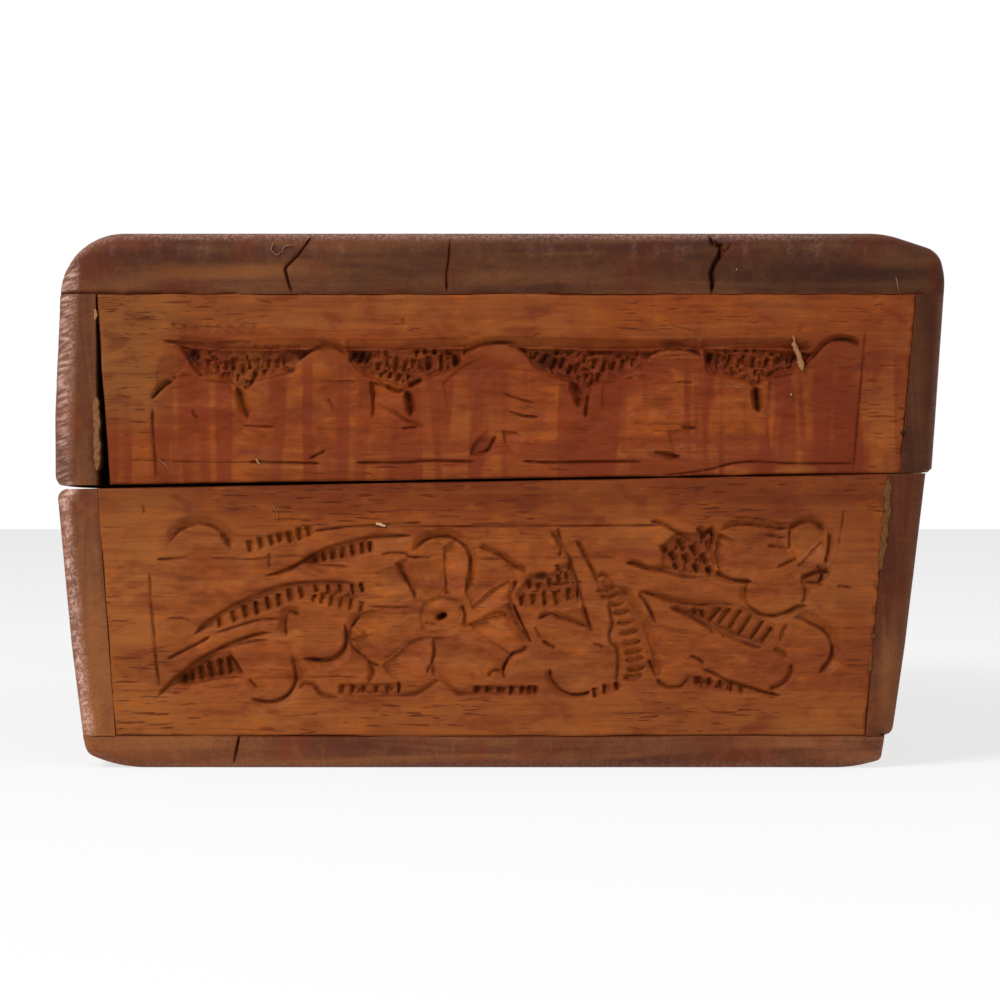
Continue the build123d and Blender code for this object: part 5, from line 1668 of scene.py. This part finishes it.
def lid_tone(y, z):
    """The lid's carved end is even, paler at its upper left and a little darker at its right."""
    tone = 0.03 - 0.10 * ease(y, 20, 48) - 0.08 * ease(z, 50, 53) + 0.06 * waves(y, z, 12.0, 5.0, 82)
    thin = 0.80 * ease(y, -37, -43) * ease(z, 38, 46) + 0.45 * ease(z, 52.4, 53.6) * ease(y, 10, -30)
    thin = thin + 0.35 * ease(y, 42.5, 45.5) * ease(z, 50, 45)
    return tone - 0.24 * ease(y, -37, -43) * ease(z, 38, 46), np.clip(thin, 0, 0.85)


def end_boards(body, section, up_cells, carve, tone, shift, bands):
    """Both end boards of the lid or the base; the far one's net is coarser."""
    for side, hand, share in ((1, "right", 1.0), (-1, "left", far_end_share)):
        name = body + "_" + hand + "_end"
        net_cells = (int(sizes().carved_across * share), int(up_cells * share))
        board = carved_end(name, section, net_cells, side, carve, tone)
        finish = wood(name + "_stain", True, shift + side, bands)
        finish_net(board, body, name, finish)


class BOX_OT_lid_ends(bpy.types.Operator):
    """Carve the two end boards of the lid"""

    bl_idname = "trinket_box.lid_ends"
    bl_label = "Lid End Boards"

    def execute(self, context):
        end_boards("lid", lid_end_section(), sizes().carved_up_lid, carve_lid_end, lid_tone, 11.0, 0.74)
        return {"FINISHED"}


class BOX_OT_base_ends(bpy.types.Operator):
    """Carve the two end boards of the base"""

    bl_idname = "trinket_box.base_ends"
    bl_label = "Base End Boards"

    def execute(self, context):
        end_boards("base", base_end_section(), sizes().carved_up_base, carve_base_end, base_tone,
                   31.0, 0.12)
        return {"FINISHED"}


class BOX_OT_top_board(bpy.types.Operator):
    """Make the thick top board of the lid, carved on its face"""

    bl_idname = "trinket_box.top_board"
    bl_label = "Top Board"

    def execute(self, context):
        def across(share):
            split = gather(share, (0.27, 0.285, 0.45, 0.735, 0.745), 0.018, 1.2)
            return crowd(split, 0.03, 0.03, 0.04, 0.04)

        def up(share):
            return crowd(share, 0, 0.35, 0, 0.42)

        def face(full, net, layers):
            chosen = (net[:, 2] > net_side) & (np.abs(net[:, 0]) < net_side)

            def carve(relief):
                carve_top(relief)
                for place in itertools.product(brads_x, top_brads_y):
                    relief.dish(place, 0.9, 1.0, 1.0, 1.0)

            cut_face(full, layers, chosen, 0, 1, (0, 0, -1), carve, 101)
            corner = np.minimum(full[:, 1] + 54.0, 54.0 - full[:, 1])
            handled = ease(corner, 4.5, 1.5) * (layers["cut_end"] == 0)
            layers["rub"] += 0.35 * (net[:, 2] > net_side) * handled

        net_cells = (sizes().top_along, sizes().top_across, 9)
        board = long_board(
            "lid_top_board", lid_top_section(), net_cells, 2, [(2, -1)],
            ("upper", "left", "right"), lid_end_rounding, across, up, top_end, face,
        )
        finish_net(board, "lid", "lid_top_board", wood("top_board_stain", False, 5.0))
        return {"FINISHED"}


def mortises(board, leaves):
    """Lets hinge leaves into a finished board's rim."""
    for leaf in leaves:
        flat = net_of(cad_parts[leaf]) / MM
        plate = flat[flat[:, 1] < axis_y - 3.0]
        least, most = plate.min(0), flat.max(0)
        far_up = "lid" in leaf
        bottom = axis_z - 2.0 if far_up else least[2] - mortise_gap
        top = plate[:, 2].max() + mortise_gap if far_up else axis_z + 2.0
        corner_low = np.array([least[0] - mortise_gap, least[1] - mortise_gap, bottom])
        corner_high = np.array([most[0] + mortise_gap, most[1] + 0.4, top])
        middle, span = (corner_low + corner_high) / 2, corner_high - corner_low
        bpy.ops.object.select_all(action="DESELECT")
        bpy.ops.mesh.primitive_cube_add(size=1)
        cutter = bpy.context.object
        place_net(cutter, (net_of(cutter) * span + middle) * MM)
        cut = board.modifiers.new("mortise", "BOOLEAN")
        cut.operation = "DIFFERENCE"
        cut.solver = "MANIFOLD"
        cut.object = cutter
        bpy.context.view_layer.objects.active = board
        bpy.ops.object.modifier_apply(modifier=cut.name)
        bpy.data.objects.remove(cutter)
        if not board.data.vertices:
            raise RuntimeError("the mortise for " + leaf + " took the whole board away")
    # Slivers that the cuts leave at a mortise's corner are closed up
    bpy.ops.object.mode_set(mode="EDIT")
    bpy.ops.mesh.select_all(action="SELECT")
    bpy.ops.mesh.remove_doubles(threshold=sliver * MM)
    bpy.ops.object.mode_set(mode="OBJECT")


def outer_face(side, carve, seed, sag=0.0):
    """Cut of a wall's outer face; the wall's lower edge may sag a little between its ends."""
    def face(full, net, layers):
        chosen = (net[:, 1] * side > net_side) & (np.abs(net[:, 0]) < net_side)
        cut_face(full, layers, chosen, 0, 2, (0, -side, 0), carve, seed)
        lowest = (1 - net[:, 2]) / 2
        full[:, 2] -= sag * (1 - np.abs(full[:, 0] / half_length) ** 8) * lowest

    return face


def uncut(relief):
    """Leaves a face without carving."""


def wall_board(body, place, section, net_cells, flats, rounding, carve, face, shift):
    """Front or back board of the lid or the base; a back board's rim gets mortises for the hinges."""
    def across(share):
        return crowd(share, 0.4, 0, 0.5, 0) if place == "front" else crowd(share, 0, 0.4, 0, 0.5)

    name = body + "_" + place + "_board"
    handled = ("left",) if place == "front" else ("right",)
    board = long_board(name, section, net_cells, 2, flats, handled, rounding, across, even, carve, face)
    if place == "back":
        mortises(board, ["_".join((hand, "hinge", body, "leaf")) for hand in ("left", "right")])
    finish = wood("_".join((body, place, "stain")), False, shift, 0.0, upright_rings)
    finish_net(board, body, name, finish)


class BOX_OT_long_boards(bpy.types.Operator):
    """Make the front and back boards of lid and base"""

    bl_idname = "trinket_box.long_boards"
    bl_label = "Front and Back Boards"

    def execute(self, context):
        fine = sizes().front_along
        wall_board(
            "lid", "front", lid_front_section(), (fine, 12, 60), [(1, 1), (2, 1)],
            lid_end_rounding, lid_front_end, outer_face(-1, carve_lid_front, 103, 0.24), 41.0,
        )
        wall_board(
            "base", "front", base_front_section(), (fine, 12, 75), [(1, 1), (2, -1)],
            base_end_rounding, base_front_end, outer_face(-1, carve_base_front, 105), 47.0,
        )
        wall_board(
            "lid", "back", lid_back_section(), (80, 12, 50), [(1, -1), (2, 1)],
            lid_end_rounding, lid_back_end, outer_face(1, uncut, 107), 43.0,
        )
        wall_board(
            "base", "back", base_back_section(), (80, 12, 75), [(1, -1)],
            base_end_rounding, base_back_end, outer_face(1, uncut, 109), 53.0,
        )
        return {"FINISHED"}


class BOX_OT_bottom_board(bpy.types.Operator):
    """Make the bottom board"""

    bl_idname = "trinket_box.bottom_board"
    bl_label = "Bottom Board"

    def execute(self, context):
        def across(share):
            split = gather(share, (0.19,), 0.015, 1.5)
            return crowd(split, 0.02, 0.02, 0.03, 0.03)

        def up(share):
            return crowd(share, 0.36, 0, 0.5, 0)

        def underside(full, net, layers):
            chosen = (net[:, 2] < -net_side) & (np.abs(net[:, 0]) < net_side)

            def carve(relief):
                for place in itertools.product(brads_x, bottom_brads_y):
                    relief.dish(place, 0.9, 0.9, 1.0, 1.0)

            cut_face(full, layers, chosen, 0, 1, (0, 0, 1), carve, 111)

        board = long_board(
            "bottom_board", bottom_section(), (160, 170, 6), 2, [(2, 1)],
            ("lower", "left", "right"), bottom_end_rounding, across, up, bottom_end, underside,
        )
        finish_net(board, "base", "bottom_board", wood("bottom_board_stain", False, 61.0))
        return {"FINISHED"}


def bit(name, body, path, width, proud, sunk, finish, ragged, seed, side=1, blunt=False):
    """Thin sliver that follows a path across an end of the box, standing a little proud of it."""
    board = board_net(name, (2, 6, 28), 0, [])
    net = net_of(board)
    line = Outline(smooth_path(path) if len(path) > 2 else path)
    share = (net[:, 2] + 1) / 2
    middle = line.share(share)
    ahead = line.share(np.clip(share + 0.02, 0, 1)) - line.share(np.clip(share - 0.02, 0, 1))
    ahead = ahead / np.linalg.norm(ahead, axis=1)[:, None]
    normal = np.stack([-ahead[:, 1], ahead[:, 0]], -1)
    taper = np.sqrt(np.clip(1 - (2 * share - 1) ** 6, 0.02, 1))
    if blunt:
        taper = np.ones_like(share)
    uneven = 1 + ragged * waves(share * 28, net[:, 1] * 2, 1.7, 1.0, seed)
    half = width / 2 * taper * uneven
    height = proud * np.sqrt(np.clip(1 - 0.9 * net[:, 1] ** 2, 0, 1)) * taper
    raised = np.where(net[:, 0] > -0.5, height * (net[:, 0] + 1) / 2, 0)
    x = half_length + raised - sunk * (1 - net[:, 0]) / 2
    places = middle + normal * (net[:, 1] * half)[:, None]
    place_net(board, np.stack([side * x, places[:, 0], places[:, 1]], -1) * MM)
    smooth_and_paint(board, finish)
    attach(board, body)


def bit_finish(name, shade, darker=0.6):
    """Finish of a small bit, mottled towards a darker shade."""
    f = Finish(bpy.data.materials.new(name))
    places = f.places()
    grain = f.noise(places, (1.2, 2.2, 2.2), 3.0, 0.65)
    base = f.mix(f.step(grain, 0.40, 0.66), shade, tuple(v * darker for v in shade))
    return f.surface(base, 0.55 + grain * 0.2, f.bump(grain, 0.5, 0.08), specular=0.15)


class BOX_OT_bits(bpy.types.Operator):
    """Add the slivers, glue and dust that have stayed in joints and cuts"""

    bl_idname = "trinket_box.bits"
    bl_label = "Slivers, Glue and Dust"

    def execute(self, context):
        c = colours()
        raw = bit_finish("raw_wood", tuple(c.raw))
        pale = bit_finish("pale_splinter", tuple(c.splinter), 0.75)
        glue = bit_finish("dried_glue", tuple(c.glue))
        dust = bit_finish("pale_dust", tuple(c.dust), 0.85)
        bright = bit_finish("bright_chip", tuple(v * 1.7 for v in c.dust), 0.85)
        black = bit_finish("black_crumb", tuple(c.soil), 0.4)
        # Torn wood and glue inside the sprung joint, at both ends
        bit("torn_edge_right", "lid", [(-48.7, 36.0), (-48.75, 40.0), (-48.85, 44.9)], 0.7, 0.03,
            6.0, raw, 0.3, 5)
        bit("torn_edge_left", "lid", [(-48.2, 33.96), (-48.3, 40.0), (-48.6, 50.0)], 1.9, -0.6, 5.0,
            raw, 0.1, 6, -1, True)
        bit("gap_crumb_right", "lid", [(-48.95, 54.2), (-48.85, 54.9), (-48.95, 55.5)], 0.3, 0.03,
            1.0, pale, 0.5, 7)
        # Glue pressed out beside the base's back joint
        bit("back_glue", "base", [(46.9, 35.0), (46.7, 31.0), (46.3, 27.0), (45.9, 23.9)], 0.75,
            0.10, 0.3, glue, 0.5, 8)
        glue_spots = ((45.3, 22.1, 0.9), (45.1, 19.2, 1.0), (45.1, 15.9, 0.6), (44.7, 12.6, 2.0))
        for k, (y, z, tall) in enumerate(glue_spots):
            path = [(y, z - tall / 2), (y + 0.05, z), (y + 0.1, z + tall / 2)]
            bit(f"glue_spot_{k}", "base", path, 0.35, 0.10, 0.3, glue, 0.4, 9 + k)
        # Splinter, specks and hairs
        bit("splinter", "lid", [(35.4, 51.5), (35.9, 50.4), (36.3, 49.2), (36.5, 48.0)], 0.6, 0.35,
            0.8, pale, 0.35, 20)
        bit("splinter_tip", "lid", [(35.4, 52.3), (35.55, 51.7), (35.7, 50.9)], 0.24, 0.25, 0.6,
            pale, 0.3, 21)
        bit("speck_carving", "base", [(-15.0, 29.55), (-14.5, 29.45), (-13.8, 29.25)], 0.34, 0.15,
            0.3, bright, 0.4, 22)
        bit("speck_lid", "lid", [(-29.5, 37.4), (-29.2, 36.9), (-29.0, 36.7)], 0.2, 0.12, 0.3, dust,
            0.4, 23)
        bit("speck_leaf", "lid", [(35.1, 45.3), (35.2, 45.0)], 0.2, 0.10, 0.3, dust, 0.4, 24)
        bit("speck_top", "lid", [(28.5, 60.3), (28.65, 60.2)], 0.2, 0.10, 0.3, dust, 0.4, 25)
        bit("crumb", "lid", [(48.5, 40.7), (48.9, 40.4)], 0.45, 0.2, 0.4, black, 0.4, 26)
        hair_paths = (
            ("lid", [(-27.4, 63.6), (-27.6, 62.6), (-27.0, 62.0), (-26.4, 62.4)]),
            ("lid", [(-26.4, 62.2), (-26.0, 63.0), (-25.2, 63.2)]),
            ("lid", [(47.8, 59.4), (48.0, 58.6), (48.15, 57.8)]),
            ("lid", [(-41.4, 37.4), (-40.4, 36.6), (-40.0, 35.9)]),
            ("base", [(-27.6, 31.9), (-27.0, 30.9), (-26.9, 30.0)]),
        )
        for k, (body, points) in enumerate(hair_paths):
            bit(f"hair_{k}", body, points, 0.07, 0.12, 0.1, dust, 0.2, 30 + k)
        return {"FINISHED"}


class BOX_OT_metalwork(bpy.types.Operator):
    """Give hinges, pins, screws and brads their metal"""

    bl_idname = "trinket_box.metalwork"
    bl_label = "Hinges and Brads"

    def execute(self, context):
        c = colours()
        brass = metal("aged_brass", tuple(c.brass), 0.40, 3.0)
        worn = metal("worn_screw_brass", tuple(v * 0.45 for v in c.brass), 0.38, 5.0)
        steel = metal("dull_steel", tuple(c.steel), 0.42, 7.0)
        choices = {"leaf": brass, "screws": worn, "pin": steel, "nails": steel}
        for name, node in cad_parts.items():
            if node.hide_render:
                continue
            node.data.materials.clear()
            node.data.materials.append(next(choices[key] for key in choices if key in name))
        return {"FINISHED"}


class BOX_OT_stage(bpy.types.Operator):
    """Set the floor, the lamps and the camera"""

    bl_idname = "trinket_box.stage"
    bl_label = "Floor, Lamps and Camera"

    ambient: FloatProperty(
        name="Ambient", description="Strength of the even light",
        subtype="FACTOR", default=0.42, min=0, max=1,
    )
    floor_glow: FloatProperty(
        name="Floor glow", description="How far the floor looks plain white",
        subtype="FACTOR", default=0.72, min=0, max=1,
    )
    distance: FloatProperty(
        name="Distance", description="Camera to the end of the box",
        unit="LENGTH", default=0.375, min=0.1,
    )
    height: FloatProperty(
        name="Height", description="Height of the camera",
        unit="LENGTH", default=0.0324,
    )
    view_width: FloatProperty(
        name="View width", description="Width seen at the end of the box",
        unit="LENGTH", default=0.1208, min=0.01,
    )

    def execute(self, context):
        scene = context.scene
        bpy.ops.object.select_all(action="DESELECT")
        bpy.ops.mesh.primitive_plane_add(size=6)
        floor = context.object
        floor.name = "floor"
        f = Finish(bpy.data.materials.new("pale_floor"))
        plain = f.node("ShaderNodeBsdfDiffuse", None, {"Color": (0.86, 0.86, 0.86)})
        lit = f.node("ShaderNodeEmission", None, {"Color": (1.0, 1.0, 1.0), "Strength": 1.0})
        shader = f.node("ShaderNodeMixShader", None, {0: seen(f, self.floor_glow), 1: plain, 2: lit})
        f.end(shader, "ShaderNodeOutputMaterial")
        floor.data.materials.append(f.painted)

        scene.world = bpy.data.worlds.new("studio")
        f = Finish(scene.world)
        strength = seen(f, 1.0) * (1.0 - self.ambient) + self.ambient
        back = f.node("ShaderNodeBackground", None, {"Color": (1.0, 1.0, 1.0), "Strength": strength})
        f.end(back, "ShaderNodeOutputWorld")

        for name, place, target, lamp_size, power in (
            ("key_lamp", (0.75, -0.62, 0.78), (0.05, 0, 0.03), 0.55, 12.0),
            ("fill_lamp", (0.95, 0.55, 0.35), (0.05, 0, 0.03), 0.7, 3.0),
        ):
            bpy.ops.object.light_add(type="AREA", location=place)
            lamp = context.object
            lamp.name = name
            lamp.data.size = lamp_size
            lamp.data.energy = power
            lamp.rotation_euler = look_along(np.array(target) - np.array(place))

        bpy.ops.object.camera_add(location=(half_length * MM + self.distance, 0, self.height))
        camera = context.object
        camera.name = "camera"
        camera.rotation_euler = (math.pi / 2, 0, math.pi / 2)
        camera.data.sensor_width = 36.0
        camera.data.lens = camera.data.sensor_width * self.distance / self.view_width
        camera.data.clip_start = 0.01
        camera.data.dof.use_dof = False
        scene.camera = camera
        scene.view_settings.view_transform = "Standard"
        return {"FINISHED"}


def seen(f, share):
    """A share for rays that the camera sees, also in shiny or clear things, and 0 for all others."""
    path = f.tree.nodes.new("ShaderNodeLightPath")
    rays = [Flow(f, path.outputs[k]) for k in ("Is Camera Ray", "Is Glossy Ray", "Is Transmission Ray")]
    total = (rays[0] + rays[1] + rays[2]) * share
    return f.node("ShaderNodeMath", {"operation": "MINIMUM"}, {0: total, 1: share})


def look_along(direction):
    """Turn of a lamp that shines along a direction."""
    x, y, z = direction / np.linalg.norm(direction)
    return (math.acos(-z), 0.0, math.atan2(-x, y))


class BOX_PT_panel(bpy.types.Panel):
    """Lists the steps of the finish"""

    bl_idname = "BOX_PT_panel"
    bl_label = "Trinket Box"
    bl_space_type = "VIEW_3D"
    bl_region_type = "UI"
    bl_category = "Trinket Box"

    def draw(self, context):
        for step in steps:
            self.layout.operator(step.bl_idname)
        for group in (context.scene.trinket_box_sizes, context.scene.trinket_box_colours):
            for key in type(group).__annotations__:
                self.layout.prop(group, key)


steps = (
    BOX_OT_lid_ends,
    BOX_OT_base_ends,
    BOX_OT_top_board,
    BOX_OT_long_boards,
    BOX_OT_bottom_board,
    BOX_OT_bits,
    BOX_OT_metalwork,
    BOX_OT_stage,
)
classes = (BoxColours, BoxSizes, *steps, BOX_PT_panel)


def register():
    for item in classes:
        bpy.utils.register_class(item)
    bpy.types.Scene.trinket_box_colours = PointerProperty(type=BoxColours)
    bpy.types.Scene.trinket_box_sizes = PointerProperty(type=BoxSizes)


def unregister():
    del bpy.types.Scene.trinket_box_sizes
    del bpy.types.Scene.trinket_box_colours
    for item in reversed(classes):
        bpy.utils.unregister_class(item)


def main():
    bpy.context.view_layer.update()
    register()
    for step in steps:
        group, name = step.bl_idname.split(".")
        getattr(getattr(bpy.ops, group), name)()


if __name__ == "__main__":
    main()
